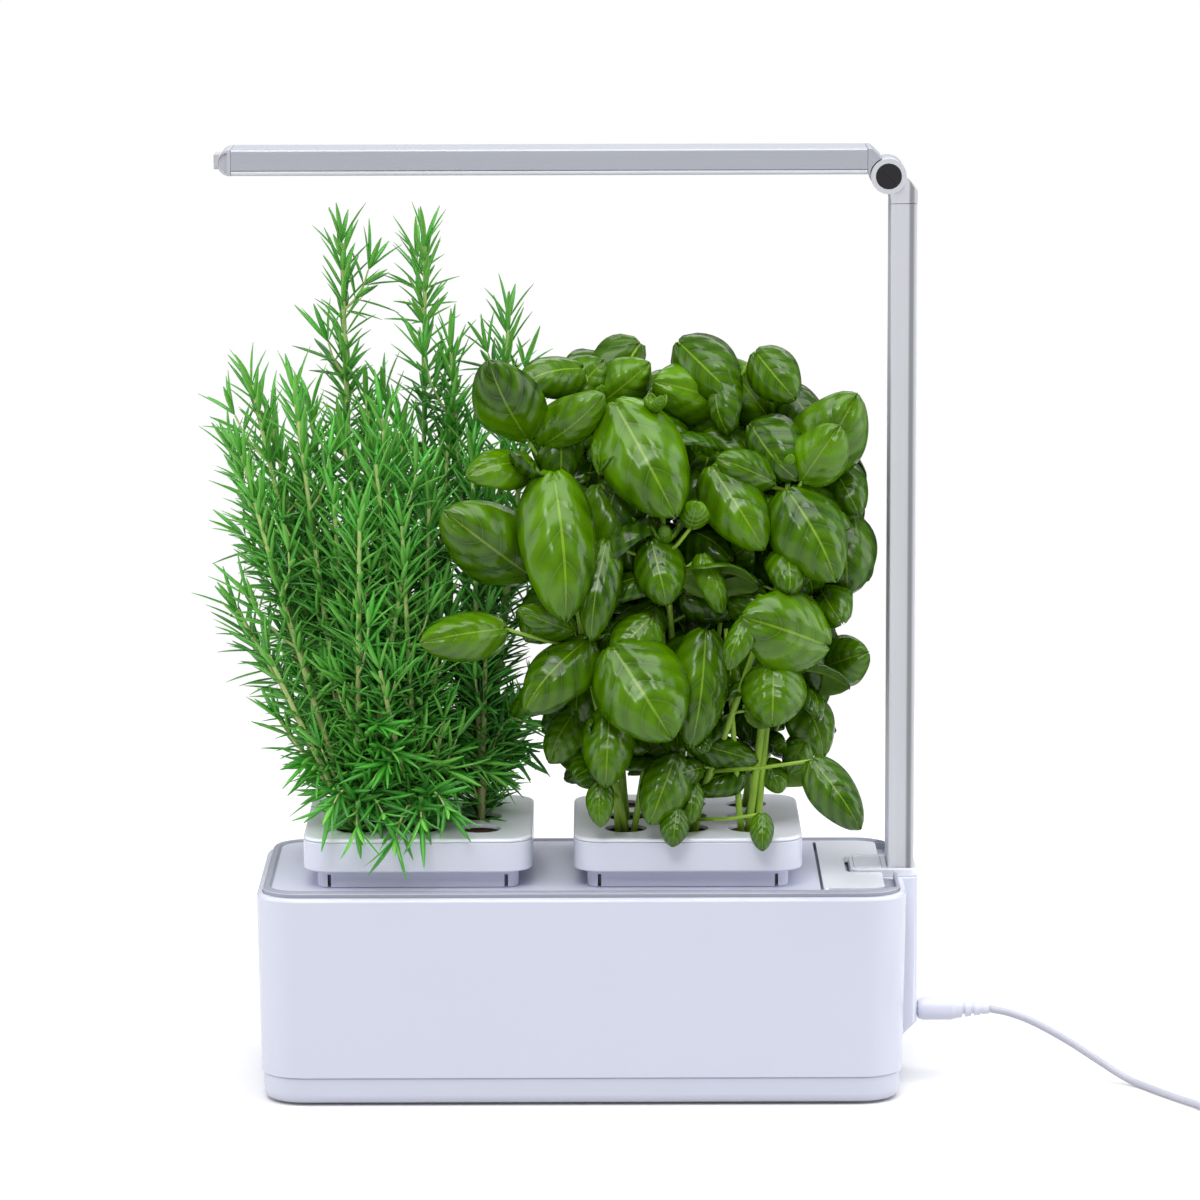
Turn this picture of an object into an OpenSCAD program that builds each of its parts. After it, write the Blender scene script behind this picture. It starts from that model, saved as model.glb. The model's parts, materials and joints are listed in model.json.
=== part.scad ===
// Countertop hydroponic garden: a water tank with two lift-out planters under a folding lamp arm.
// X runs along the tank, Y from front to back, Z up. The origin is on the counter, under the tank's middle.

/* [Tank body] */
// Width of the shell at its rim
body_w = 284; // [276:1:320]
// Depth of the shell at its rim
body_d = 122; // [120:1:140]
// Height of the shell's rim above the counter
rim_z = 93; // [90:1:110]
// Height of the seam between the shell and the base pan
seam_z = 13; // [12:0.5:16]
// Radius of the shell's upright corners
body_corner = 19; // [17:0.5:22]
// Wall of the shell
shell_wall = 2.5; // [2:0.1:3]
// How far each side of the shell leans in from its rim to the seam
body_draft = 1.25; // [0.5:0.25:2]
// Radius of the shell's rim
rim_round = 1.9; // [1:0.1:2.2]
// Height of the rubber feet
foot_h = 1.2; // [0.8:0.1:2]
// Diameter of the rubber feet
foot_dia = 14; // [10:1:18]
// Wall and floor of the water tank
tank_wall = 2.2; // [1.6:0.1:2.8]

/* [Deck and lid] */
// Thickness of the deck
deck_t = 2.2; // [1.8:0.1:2.6]
// Width of the raised lip around the deck
lip_w = 4; // [3:0.5:5]
// Length of the filler lid along X
lid_l = 26.8; // [24:0.2:30]
// Width of the filler lid along Y
lid_w = 99.6; // [94:0.2:102]
// Thickness of the filler lid
lid_t = 2.6; // [2.2:0.1:3]
// Diameter of the lid's hinge pins
lid_pin_dia = 2.4; // [2:0.1:2.8]
// How far the finger wells reach past the lid
well_l = 5; // [4:0.5:6]

/* [Planters] */
// Distance between the middles of the two planters
planter_pitch = 118; // [112:1:122]
// Side of a planter's upper box
box_w = 100; // [94:1:104]
// Height of a planter's upper box with its cap
box_h = 15; // [12:0.5:20]
// Radius of the upper box's corners
box_corner = 12; // [8:1:16]
// Thickness of the cap
cap_t = 1.7; // [1.4:0.1:2.4]
// Side of the ring that stands on the deck
ring_w = 88; // [86:0.5:90]
// Height of that ring
ring_h = 7.6; // [6:0.2:10]
// Side of the basket that hangs in the tank
basket_w = 80; // [76:1:82]
// Depth of the basket below the deck
basket_deep = 38; // [30:1:44]
// Diameter of a planting hole
hole_dia = 18; // [14:1:20]
// Distance between planting holes
hole_pitch = 27; // [24:1:28]

/* [Lamp arm] */
// Thickness of the post and the lamp bar
arm_t = 11.5; // [10.5:0.5:13]
// Width of the post and the lamp bar along Y
arm_w = 27; // [25:1:28]
// Wall of the post and the lamp bar
arm_wall = 1.4; // [1.2:0.1:1.6]
// Height of the hinge pin above the counter
hinge_z = 402.3; // [360:0.1:440]
// Distance from the hinge pin to the lamp's tip
lamp_reach = 291; // [270:1:300]
// Diameter of the hinge ears
ear_dia = 15.5; // [14.5:0.5:17]
// Diameter of the hinge pin
pin_dia = 5; // [4:0.2:6]
// Diameter of the black hinge caps
hinge_cap_dia = 11.2; // [9:0.1:12]
// Number of light-emitting chips
led_count = 24; // [12:2:30]

/* [Power] */
// Length of the power key along X
key_l = 12; // [10:0.5:12.5]
// Width of the power key along Y
key_w = 27; // [22:0.5:28]
// How far the key travels
key_travel = 0.8; // [0.4:0.1:1]
// Height of the power jack above the counter
jack_z = 31.8; // [31.4:0.2:40]
// Diameter of the plug's barrel
barrel_dia = 5.5; // [5:0.1:6]
// Diameter of the cord
cord_dia = 3.3; // [3:0.1:3.6]

/* [Hidden] */

white = "#eeeff6";
deck_grey = "#c6c8d2";
aluminium = "#b9bbc4";
steel = "#a9abb0";
board_green = "#2f6b46";
leaf_green = "#4f9a12";
needle_green = "#2f8038";

gap = 0.3; // between two pieces of the same body
run = 0.05; // radial clearance of a running fit
seat = 0.2; // under a piece that lifts off

// tank body, worked out
pan_floor = 2.5;
pan_inset = 1.0;
panel_t = 0.4;
rib_h = 2.3;
foot_x = body_w / 2 - 30;
foot_y = body_d / 2 - 21;
panel_w = 2 * foot_x - 40;
panel_d = 2 * foot_y - 28;
boss_x = body_w / 2 - 12.2;
boss_y = body_d / 2 - 12.2;
boss_r = 3.75;
shank_dia = 2.6;
screw_head_dia = 5.6;
tank_z = foot_h + pan_floor + rib_h;
tank_corner = 32;
deck_z = rim_z + 1.6;
lip_z = deck_z + 1;
skirt_z = rim_z - 5;
deck_inset = shell_wall + gap;

// lamp foot, worked out
post_x = body_w / 2 - 1;
column_x0 = post_x - 11.7;
column_x1 = body_w / 2 + 6.5;
column_d = 35;
column_wall = 2.2;
column_face_wall = 1.5;
column_face_z = jack_z - 4.8;
column_floor = column_face_z - 0.6;
socket_z = 62.5;
tongue_z = rim_z + 3.4;
tongue_d = 32;
tongue_x0 = post_x - 22.2;
plate_t = 1.4;
well_floor = rim_z - 4.8;

// lid, worked out
lid_x1 = body_w / 2 - 9.5;
lid_x0 = lid_x1 - lid_l;
lid_z = deck_z + 0.6;
lid_pin_x = lid_x0 + 1.3;
lid_pin_z = lid_z - lid_t / 2;
pocket_x0 = lid_x0 - 1.3;
pocket_x1 = lid_x1 + well_l;
pocket_d = lid_w + 1.2;
pocket_floor = lid_z - lid_t - 1.1;
tray_x0 = pocket_x0 - 1.9;
tray_x1 = pocket_x1 + 1.1;
tray_d = pocket_d + 5;
hinge_end = 12;
tray_h = deck_z - 0.5 - pocket_floor + deck_t;
notch_d = tongue_d + 2;
notch_x0 = tongue_x0 - 2;

// planters, worked out
planter_mid = -12.4;
planter_x = [planter_mid - planter_pitch / 2, planter_mid + planter_pitch / 2];
ring_z = deck_z + seat;
box_z = ring_z + ring_h;
cap_z = box_z + box_h;
basket_z = deck_z - basket_deep;
plastic = 1.8;
medium_top = cap_z - cap_t - 0.4;
stem_z = medium_top + 0.1;

// lamp, worked out
hinge_x = post_x - 6.8;
lamp_z = hinge_z + 6.5;
post_top = hinge_z - 12.1;
bar_x1 = hinge_x - 9.2;
bar_x0 = hinge_x - lamp_reach + arm_t / 2;
skin = 2.35;
ear_t = 5.5;
washer_t = 0.5;
barrel_w = arm_w - 2 * ear_t - 2 * washer_t;

// cord: points from the plug's strain relief to the coil, and from the coil to the adapter
plug_y = -10;
plug_dia = 10.2;
plug_l = 17;
relief_l = 15;
plug_x = column_x1 + 0.4;
cord_x = plug_x + plug_l + relief_l;
coil_r = 19;
coil_rows = 3;
coil_layers = 4;
coil_x = 297;
coil_y = -97;
coil_z = 0.7;
coil_in = coil_r - coil_rows * cord_dia / 2;
coil_out = coil_r + coil_rows * cord_dia / 2;
coil_h = coil_layers * cord_dia;
adapter_x = 318;
adapter_y = -70;
adapter_z = 12;
CORD_POINTS = [
    [183, -10, 31.2], [188, -10, 30.2], [193, -10, 28.6], [199, -10, 26.2], [205, -11, 23.4],
    [211, -12, 20.2], [217, -13, 16.8], [223, -15, 13.2], [229, -17, 9.6], [234, -19, 6.6],
    [239, -22, 4], [243, -25, 2.4], [247, -30, 1.8], [251, -37, 1.7], [256, -46, 1.7],
    [262, -56, 1.7], [268, -66, 1.9], [272, -75, 2.1], [274.4, -81, 2.3], [274.8, -85, 2.4]
];
TAIL_POINTS = [[319.2, -85, 12.2], [319, -83, 12.2], [318.4, -81, 12.1], [318, -79.5, 12]];

// plants: bases are planting holes by column and row, tips are x, y and height over the cap
SPRIGS = [
    [-1, 1, -34, 30, 262], [0, 1, 3, 32, 260], [1, 1, 40, 36, 226], [-1, 0, -74, 6, 200],
    [1, 1, 14, 24, 212], [-1, 0, -78, -10, 170],
    [-1, -1, -54, -8, 198], [0, 0, -15, -20, 188], [-1, -1, -24, -40, 146],
    [-1, 0, -36, -26, 150], [0, -1, -6, -38, 142], [0, -1, 6, -18, 160], [1, 0, 24, 0, 168],
    [1, 1, 40, 12, 130], [1, 1, 50, 24, 54], [-1, 1, -82, 10, 96], [-1, 0, -76, -8, 48],
    [-1, -1, -66, -26, 82], [1, 0, 30, -8, 96], [-1, 1, -54, 34, 150], [0, -1, -16, -46, 78]
];
BASIL_STEMS = [
    [-1, -1, -62, -28, 170], [-1, 0, -40, -8, 186], [0, -1, -14, -36, 186], [0, 1, 14, -2, 184],
    [1, -1, 44, -32, 160], [1, 1, 44, -6, 172], [1, 0, 62, -14, 132], [-1, -1, -50, -42, 112],
    [0, 0, -10, -44, 130], [0, -1, 34, -42, 100]
];
// leaves: stem, base x, y, height, tip x, y, height, width, turn of the face from the front
BASIL_LEAVES = [
    [0, -69, -30, 174, -86, -46, 212, 27, -15], [0, -64, -30, 171, -36, -40, 196, 20, 30],
    [0, -67, -32, 165, -96, -50, 161, 18, -30], [0, -58, -44, 163, -53, -62, 99, 30, 10],
    [7, -68, -40, 116, -106, -56, 148, 30, -10], [1, -54, -12, 188, -36, -4, 206, 22, 10],
    [1, -38, -8, 187, -16, -4, 205, 20, 20], [2, -32, -34, 192, -5, -54, 143, 33, 0],
    [2, -33, -30, 190, -38, -40, 160, 12, -40], [8, -38, -26, 155, -21, -34, 116, 25, 25],
    [8, -35, -44, 133, -42, -56, 90, 16, -10], [3, 19, -4, 187, -15, -14, 198, 25, 0],
    [5, 39, -2, 176, 15, -6, 207, 20, 0], [4, 49, -20, 154, 74, -24, 194, 30, 15],
    [4, 49, -34, 156, 66, -40, 182, 21, 0], [4, 43, -38, 154, 64, -48, 114, 30, 15],
    [6, 68, -4, 134, 79, -8, 108, 24, 30], [4, 10, -36, 164, 33, -46, 128, 24, 0],
    [5, 38, -34, 156, 12, -40, 168, 15, 0], [8, 1, -48, 138, 4, -54, 151, 12, 0],
    [8, -16, -44, 133, -9, -54, 105, 20, 0], [8, 6, -40, 126, 15, -46, 100, 12, 30],
    [3, 6, -2, 166, 5, 0, 184, 15, 0], [5, 23, -2, 164, 23, 2, 180, 15, 0],
    [9, 61, -46, 86, 22, -62, 102, 32, 0], [9, 37, -52, 80, 36, -60, 53, 25, 0],
    [9, 26, -60, 102, 17, -66, 79, 11, -20], [6, 60, -8, 70, 80, -14, 78, 20, 0],
    [6, 50, -14, 60, 60, -20, 32, 20, 20], [9, 53, -64, 40, 74, -72, 10, 18, 10],
    [8, 8, -42, 93, 1, -52, 42, 23, 10], [7, -16, -46, 99, -33, -50, 79, 20, -20],
    [8, -33, -54, 88, -7, -70, 49, 36, 0], [7, -34, -50, 60, -36, -58, 26, 20, 0],
    [7, -43, -46, 90, -71, -58, 60, 24, -25], [7, -78, -56, 96, -116, -70, 92, 19, -10],
    [7, -49, -44, 92, -74, -54, 104, 13, -20], [7, -49, -30, 55, -60, -34, 32, 18, -30],
    [7, -38, -50, 28, -38, -55, 8, 11, -15], [8, -5, -48, 39, -17, -56, 9, 19, 0],
    [8, -5, -54, 16, -7, -59, 0, 11, 0], [9, 32, -54, 14, 32, -59, -2, 9, 0],
    [8, 2, -42, 26, 1, -48, 8, 9, 0], [9, 1, -36, 42, 31, -30, 32, 13, 0],
    [6, 53, -20, 43, 44, -26, 26, 12, 0], [9, 35, -24, 32, 41, -30, 18, 11, 0],
    [1, -30, 16, 150, -4, 30, 172, 24, 180], [3, 26, 22, 150, 52, 34, 166, 26, 180],
    [5, 56, 12, 118, 76, 30, 130, 24, 170], [3, 6, 24, 110, 0, 40, 78, 24, 180],
    [3, 30, 26, 100, 44, 40, 66, 26, 180], [5, 52, 14, 82, 72, 26, 58, 22, 160]
];

// ---- outlines and bodies ----

// Points of a quarter turn around [cx, cy], from the angle a
function quarter(cx, cy, r, a, n) = [for (i = [0:n])
    [cx + r * cos(a + 90 * i / n), cy + r * sin(a + 90 * i / n)]];

// Rounded rectangle from x0 to x1 and d deep about the X axis, anticlockwise
function rounded(x0, x1, d, r, n = 6) = concat(
    quarter(x1 - r, d / 2 - r, r, 0, n), quarter(x0 + r, d / 2 - r, r, 90, n),
    quarter(x0 + r, r - d / 2, r, 180, n), quarter(x1 - r, r - d / 2, r, 270, n));

// Closed body through rings of points, each ring anticlockwise seen from the far end
module skin_rings(rings) {
    n = len(rings[0]);
    last = len(rings) - 1;
    polyhedron(points = [for (r = rings) each r], faces = concat(
        [[for (i = [0:n - 1]) i]],
        [for (k = [0:last - 1]) for (i = [0:n - 1]) let (a = k * n + i, b = k * n + (i + 1) % n)
            each [[a, a + n, b + n], [a, b + n, b]]],
        [[for (i = [n - 1:-1:0]) last * n + i]]));
}

// Loft through rounded rectangles: each section is [x0, x1, depth, radius, z]
module loft(sections) {
    skin_rings([for (s = sections) [for (p = rounded(s[0], s[1], s[2], s[3])) [p[0], p[1], s[4]]]]);
}

// Wall through sections that lead up its outside, over its rim and down its inside
module wall_loop(sections) {
    rings = [for (s = sections) [for (p = rounded(s[0], s[1], s[2], s[3])) [p[0], p[1], s[4]]]];
    n = len(rings[0]);
    count = len(rings);
    polyhedron(points = [for (r = rings) each r], faces = [for (k = [0:count - 1]) for (i = [0:n - 1]) let (
        next = (k + 1) % count,
        j = (i + 1) % n
    ) each [[k * n + i, next * n + i, next * n + j], [k * n + i, next * n + j, k * n + j]]]);
}

// Section centred on x, grown by g on every side
function around(x, w, d, r, z, g = 0) = [x - w / 2 - g, x + w / 2 + g, d + 2 * g, r + g, z];

// Exact upright block with rounded corners, from arcs and straight sides
module block(w, d, h, r) {
    linear_extrude(h) rounded_square(w, d, r);
}

module rounded_square(w, d, r) {
    square([w - 2 * r, d], center = true);
    square([w, d - 2 * r], center = true);
    for (x = [-1, 1], y = [-1, 1]) translate([x * (w / 2 - r), y * (d / 2 - r)]) circle(r, $fn = 48);
}

module bar_y(r, l) {
    rotate([90, 0, 0]) cylinder(r = r, h = l, center = true, $fn = 64);
}

module bar_x(r, l) {
    rotate([0, 90, 0]) cylinder(r = r, h = l, $fn = 48);
}

module at_corners(x, y) {
    for (i = [-1, 1], j = [-1, 1]) translate([i * x, j * y, 0]) children();
}

// ---- vectors, tubes and leaves ----

function unit(v) = v / norm(v);
function side_of(d) = unit(cross(d, abs(d[2]) > 0.9 * norm(d) ? [1, 0, 0] : [0, 0, 1]));
function bend(a, b, c, t) = (1 - t) * (1 - t) * a + 2 * t * (1 - t) * b + t * t * c;

// Ring of points around p, across the direction d
function ring_at(p, d, r, sides) = let (u = side_of(d), v = cross(unit(d), u))
    [for (i = [0:sides - 1]) p + r * (cos(360 * i / sides) * u + sin(360 * i / sides) * v)];

module tube(points, radii, sides) {
    last = len(points) - 1;
    skin_rings([for (i = [0:last])
        ring_at(points[i], points[min(i + 1, last)] - points[max(i - 1, 0)], radii[i], sides)]);
}

// ---- tank body ----

function shell_lean(z) = body_draft * (rim_z - z) / (rim_z - seam_z);
function shell_section(z, g = 0) =
    around(0, body_w - 2 * shell_lean(z), body_d - 2 * shell_lean(z), body_corner, z, g);

module outer_shell() {
    over = 1;
    color(white) difference() {
        union() {
            wall_loop([
                shell_section(seam_z), shell_section(rim_z - rim_round),
                shell_section(rim_z - 0.6 * rim_round, -0.12 * rim_round),
                shell_section(rim_z - 0.2 * rim_round, -0.45 * rim_round),
                shell_section(rim_z, -rim_round),
                shell_section(rim_z, -shell_wall), shell_section(seam_z, -shell_wall)
            ]);
            column();
            for (i = [-1, 1], j = [-1, 1]) translate([i * boss_x, j * boss_y, seam_z + 4.5]) {
                cylinder(r = boss_r, h = 12, $fn = 48);
                rotate(atan2(j, i)) translate([0, -1.2, 0]) cube([6.3, 2.4, 12]);
            }
        }
        // dry compartment for the post's foot and the electronics
        translate([column_x0 + column_wall, -column_d / 2 + column_wall, column_floor])
            cube([column_x1 - column_face_wall - column_x0 - column_wall,
                column_d - 2 * column_wall, rim_z - column_floor + over]);
        translate([column_x1 - 4, plug_y, jack_z]) bar_x(barrel_dia / 2 + 0.4, 8);
        at_corners(boss_x, boss_y) translate([0, 0, seam_z])
            cylinder(r = shank_dia / 2 + run, h = 14, $fn = 48);
        for (y = [-1, 1]) translate([column_x0 + column_wall - 1.6, y * board_screw_y, board_screw_z])
            bar_x(1 + run, 6);
    }
}

board_screw_y = 11;
board_screw_z = 52;

// Upright column that stands out of the shell's right end and holds the post
module column() {
    r = 4.5;
    foot = column_face_z - 6.5;
    loft([
        [column_x0, column_x1 - 6.5, column_d, r, foot], [column_x0, column_x1, column_d, r, column_face_z],
        [column_x0, column_x1, column_d, r, rim_z - 1],
        [column_x0, column_x1 - 0.3, column_d - 0.6, r, rim_z - 0.3],
        [column_x0, column_x1 - 1, column_d - 2, r, rim_z]
    ]);
    for (y = [-1, 1]) translate([column_x0 + 1, y * board_screw_y, board_screw_z])
        bar_x(2.4, column_wall - 1 + 1.2);
}

module base_pan() {
    inset = pan_inset - 0.2;
    top = -pan_inset + 0.2;
    color(white) difference() {
        union() {
            loft([
                shell_section(foot_h, -pan_inset - 2.2), shell_section(foot_h + 0.6, -pan_inset - 1.1),
                shell_section(foot_h + 2, -pan_inset - 0.3), shell_section(foot_h + 4, -pan_inset),
                shell_section(seam_z - 0.8, -inset), shell_section(seam_z - gap, -inset - 0.4)
            ]);
            // raised panel between the feet
            translate([0, 0, foot_h - panel_t]) block(panel_w, panel_d, panel_t + 1, 8);
            // lip that centres the shell
            loft([
                shell_section(seam_z - 2, -shell_wall - gap - body_draft / 8),
                shell_section(seam_z + 4, -shell_wall - gap - body_draft / 8)
            ]);
        }
        difference() {
            loft([
                shell_section(foot_h + pan_floor, -shell_wall - gap - 1.8),
                shell_section(seam_z + 5, -shell_wall - gap - 1.8)
            ]);
            at_corners(boss_x, boss_y) cylinder(r = boss_r, h = seam_z + 4, $fn = 48);
            for (x = [-1, 0, 1]) translate([x * body_w * 0.3, 0, foot_h + pan_floor + rib_h / 2])
                cube([3, body_d * 0.7, rib_h], center = true);
        }
        at_corners(boss_x, boss_y) {
            cylinder(r = shank_dia / 2 + 0.3, h = seam_z + 6, $fn = 48);
            cylinder(r = screw_head_dia / 2 + gap, h = foot_h + 2.5, $fn = 48);
        }
    }
}

module rubber_feet() {
    color("#3b3c40") at_corners(foot_x, foot_y) {
        cylinder(d1 = foot_dia - 1, d2 = foot_dia, h = foot_h / 2, $fn = 64);
        translate([0, 0, foot_h / 2]) cylinder(d = foot_dia, h = foot_h / 2, $fn = 64);
    }
}

module screw(head_dia, head_h, shank, length) {
    difference() {
        union() {
            cylinder(d = head_dia, h = head_h, $fn = 48);
            cylinder(d = shank, h = length, $fn = 48);
        }
        for (a = [0, 90]) rotate(a) cube([head_dia * 0.6, 0.7, head_h], center = true);
    }
}

module pan_screws() {
    color(steel) at_corners(boss_x, boss_y) translate([0, 0, foot_h + 0.4])
        screw(screw_head_dia, 2, shank_dia, seam_z + 9);
}

// ---- water tank ----

tank_x0 = -body_w / 2 + shell_wall + 4;
tank_x1 = column_x0 - 1.8;
tank_d = body_d - 2 * shell_wall - 8;

module water_tank() {
    flange = 3;
    color("#dfe3ec") difference() {
        union() {
            loft([
                [tank_x0 + 1.5, tank_x1 - 1.5, tank_d - 3, tank_corner - 1.5, tank_z],
                [tank_x0, tank_x1, tank_d, tank_corner, tank_z + 2],
                [tank_x0, tank_x1, tank_d, tank_corner, skirt_z]
            ]);
            // rim that the deck's skirt stands on
            loft([
                [tank_x0 - flange, tank_x1, tank_d + 2 * flange, body_corner - 2, skirt_z - 1.5],
                [tank_x0 - flange, tank_x1, tank_d + 2 * flange, body_corner - 2, skirt_z]
            ]);
        }
        loft([
            [tank_x0 + tank_wall, tank_x1 - tank_wall, tank_d - 2 * tank_wall, tank_corner - tank_wall,
                tank_z + tank_wall],
            [tank_x0 + tank_wall, tank_x1 - tank_wall, tank_d - 2 * tank_wall, tank_corner - tank_wall,
                skirt_z + 1]
        ]);
    }
}

// ---- deck ----

function deck_section(z, g = 0) =
    around(0, body_w - 2 * deck_inset, body_d - 2 * deck_inset, body_corner - deck_inset, z, g);

module deck() {
    opening = basket_w + 2;
    fill_x0 = lid_pin_x + 3;
    fill_x1 = notch_x0 + key_l;
    fill_d = 24;
    fill_y = notch_d / 2 + 4 + fill_d / 2;
    color(deck_grey) difference() {
        union() {
            difference() {
                loft([
                    deck_section(skirt_z), deck_section(deck_z - 0.4), deck_section(deck_z + 0.3, -0.25),
                    deck_section(lip_z - 0.15, -0.8), deck_section(lip_z, -1.4)
                ]);
                // lowered field inside the lip
                loft([
                    deck_section(deck_z, -lip_w), deck_section(lip_z - 0.2, 1.0 - lip_w),
                    deck_section(lip_z + 1, 2.2 - lip_w)
                ]);
                loft([deck_section(skirt_z - 1, -2.4), deck_section(deck_z - deck_t, -2.4)]);
            }
            // tray under the filler lid
            translate([(tray_x0 + tray_x1) / 2, 0, pocket_floor - deck_t])
                block(tray_x1 - tray_x0, tray_d, tray_h, 8);
            translate([tray_x0, -tray_d / 2, pocket_floor - deck_t]) cube([hinge_end, tray_d, tray_h]);
        }
        translate([(pocket_x0 + pocket_x1) / 2, 0, pocket_floor])
            block(pocket_x1 - pocket_x0, pocket_d, 10, 4);
        // square at the hinge, so that the lid's ends turn freely
        translate([pocket_x0, -pocket_d / 2, pocket_floor]) cube([hinge_end / 2, pocket_d, 10]);
        for (y = [-1, 1]) translate([fill_x0, y * fill_y - fill_d / 2, pocket_floor - 10])
            cube([fill_x1 - fill_x0, fill_d, 20]);
        for (x = planter_x) translate([x, 0, skirt_z]) block(opening, opening, 10, 8);
        // clear of the column and the lamp's foot
        translate([tongue_x0 - gap, -column_d / 2 - gap, skirt_z - 5])
            cube([60, column_d + 2 * gap, 20]);
        translate([lid_pin_x, 0, lid_pin_z]) bar_y(lid_pin_dia / 2 + run, lid_w + 2 * 3);
    }
}

// ---- lamp foot, key and electronics ----

post_slot = [arm_t + 0.4, arm_w + 0.4];

module foot_block() {
    sleeve_x0 = column_x0 + column_wall + gap;
    sleeve_x1 = column_x1 - column_face_wall - gap;
    sleeve_d = column_d - 2 * column_wall - 2 * gap;
    color(white) difference() {
        union() {
            loft([
                [tongue_x0, column_x1 - 0.4, tongue_d, 3.5, rim_z + 0.1],
                [tongue_x0, column_x1 - 0.4, tongue_d, 3.5, tongue_z - 0.8],
                [tongue_x0 + 0.25, column_x1 - 0.65, tongue_d - 0.5, 3.3, tongue_z - 0.25],
                [tongue_x0 + 0.8, column_x1 - 1.2, tongue_d - 1.6, 3, tongue_z]
            ]);
            translate([tongue_x0, -tongue_d / 2, well_floor])
                cube([column_x0 - gap - tongue_x0, tongue_d, rim_z + 0.6 - well_floor]);
            translate([sleeve_x0, -sleeve_d / 2, socket_z - 2.5])
                cube([sleeve_x1 - sleeve_x0, sleeve_d, rim_z + 0.6 - socket_z + 2.5]);
        }
        // key well, open below for its board
        translate([tongue_x0 + 1.2, -key_w / 2 - 1, well_floor - 1])
            cube([column_x0 - gap - tongue_x0 - 2.4, key_w + 2, tongue_z - plate_t - well_floor + 1]);
        // room for the key's flange over the column
        translate([tongue_x0 + 1.2, -key_w / 2 - 1, rim_z - 2])
            cube([key_l + 2.6, key_w + 2, tongue_z - plate_t - rim_z + 2]);
        translate([key_x, 0, well_floor]) block(key_l + 0.4, key_w + 0.4, 20, 2.7);
        // post socket
        translate([post_x, 0, socket_z]) block(post_slot[0], post_slot[1], 50, 1.4);
        for (y = [-1, 1]) translate([post_x, y * port_y, socket_z - 5]) cylinder(r = 1.7, h = 10, $fn = 48);
        translate([post_x, 0, socket_z - 5]) cylinder(r = 2.5, h = 10, $fn = 48);
    }
}

key_x = tongue_x0 + 1.9 + key_l / 2;
switch_x = tongue_x0 + 5.2;
port_y = arm_w / 2 - 4.3;
switch_z = well_floor + 1.2;
switch_seat_z = switch_z + 0.2;
key_foot_z = switch_seat_z + key_travel + 0.2;

module key_board() {
    color(board_green) difference() {
        union() {
            translate([tongue_x0 + 1.5, -key_w / 2, well_floor])
                cube([column_x0 - gap - tongue_x0 - 3, key_w, 1.2]);
            // tact switch
            translate([switch_x - 3, -3, switch_z - 0.1]) cube([6, 6, 2.4]);
        }
        translate([switch_x, 0, switch_seat_z]) cylinder(r = 1.5 + 2 * run, h = 5, $fn = 48);
    }
}

module power_key() {
    flange_z = tongue_z - plate_t - 0.2;
    color(white) {
        difference() {
            translate([key_x, 0, flange_z - 0.2]) block(key_l, key_w, tongue_z + 0.2 - flange_z + 0.2, 2.5);
            // shallow dish in the top face
            translate([key_x, 0, tongue_z - 0.05]) block(key_l - 2, key_w - 2, 2, 1.8);
        }
        translate([key_x, 0, flange_z - 0.8]) block(key_l + 0.9, key_w + 1.2, 0.8, 2.5);
        translate([switch_x, 0, key_foot_z])
            cylinder(r = 1.5, h = flange_z - 0.5 - key_foot_z, $fn = 48);
    }
}

board_x = column_x0 + column_wall + 1.2;

module control_board() {
    color(board_green) difference() {
        union() {
            translate([board_x, -14, 42]) cube([1.6, 28, 15]);
            translate([board_x + 1.5, -4, 43]) cube([2.2, 7, 7]);
            translate([board_x + 1.5, 5, 44]) cube([3.5, 4, 4]);
        }
        for (y = [-1, 1]) translate([board_x - 1, y * board_screw_y, board_screw_z]) bar_x(1.3, 5);
    }
}

module board_screws() {
    color(steel) for (y = [-1, 1]) translate([board_x + 3.2, y * board_screw_y, board_screw_z])
        rotate([0, -90, 0]) screw(4, 1.6, 2, 5.4);
}

module dc_socket() {
    l = 11;
    x1 = column_x1 - column_face_wall - 0.1;
    color("#2c2d31") difference() {
        translate([x1 - l, plug_y - 4.7, column_floor]) cube([l, 9.4, 10.4]);
        translate([x1 - l + 1.2, plug_y, jack_z]) difference() {
            bar_x(barrel_dia / 2 + 0.15, l);
            bar_x(0.95, l - 2.5);
        }
    }
}

module post_screws() {
    color(steel) for (y = [-1, 1]) translate([post_x, y * port_y, socket_z - 4.6])
        screw(5, 2, shank_dia, 14);
}

// ---- lamp arm ----

// Section of the post: thin tube with two screw ports, its front and back channels, and one for the strip
module post_section() {
    difference() {
        rounded_square(arm_t, arm_w, 0.6);
        face_channel();
        mirror([0, 1]) face_channel();
        difference() {
            square([arm_t - 2 * arm_wall, arm_w - 2 * arm_wall - 2 * channel_t], center = true);
            for (y = [-1, 1]) translate([0, y * port_y]) {
                circle(r = 2.5, $fn = 48);
                translate([1.5, -0.6]) square([arm_t / 2, 1.2]);
            }
        }
        for (y = [-1, 1]) translate([0, y * port_y]) circle(r = shank_dia / 2 + run, $fn = 48);
        translate([-arm_t / 2, 0]) square([2 * strip_t, strip_w + 0.4], center = true);
    }
}

strip_t = 1.3;
strip_w = arm_w - 4;
// channel in the post's front and back, between two ribs
rib_w = 1.3;
channel_t = 0.6;
channel_slope = 2;

module face_channel() {
    edge = arm_t / 2 - rib_w;
    face = -arm_w / 2;
    polygon([
        [-edge, face - 1], [edge, face - 1], [edge, face], [edge - channel_slope, face + channel_t],
        [channel_slope - edge, face + channel_t], [-edge, face]
    ]);
}

module lamp_post() {
    color(aluminium) translate([post_x, 0, socket_z + 0.1])
        linear_extrude(post_top - socket_z - 0.1) post_section();
}

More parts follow.
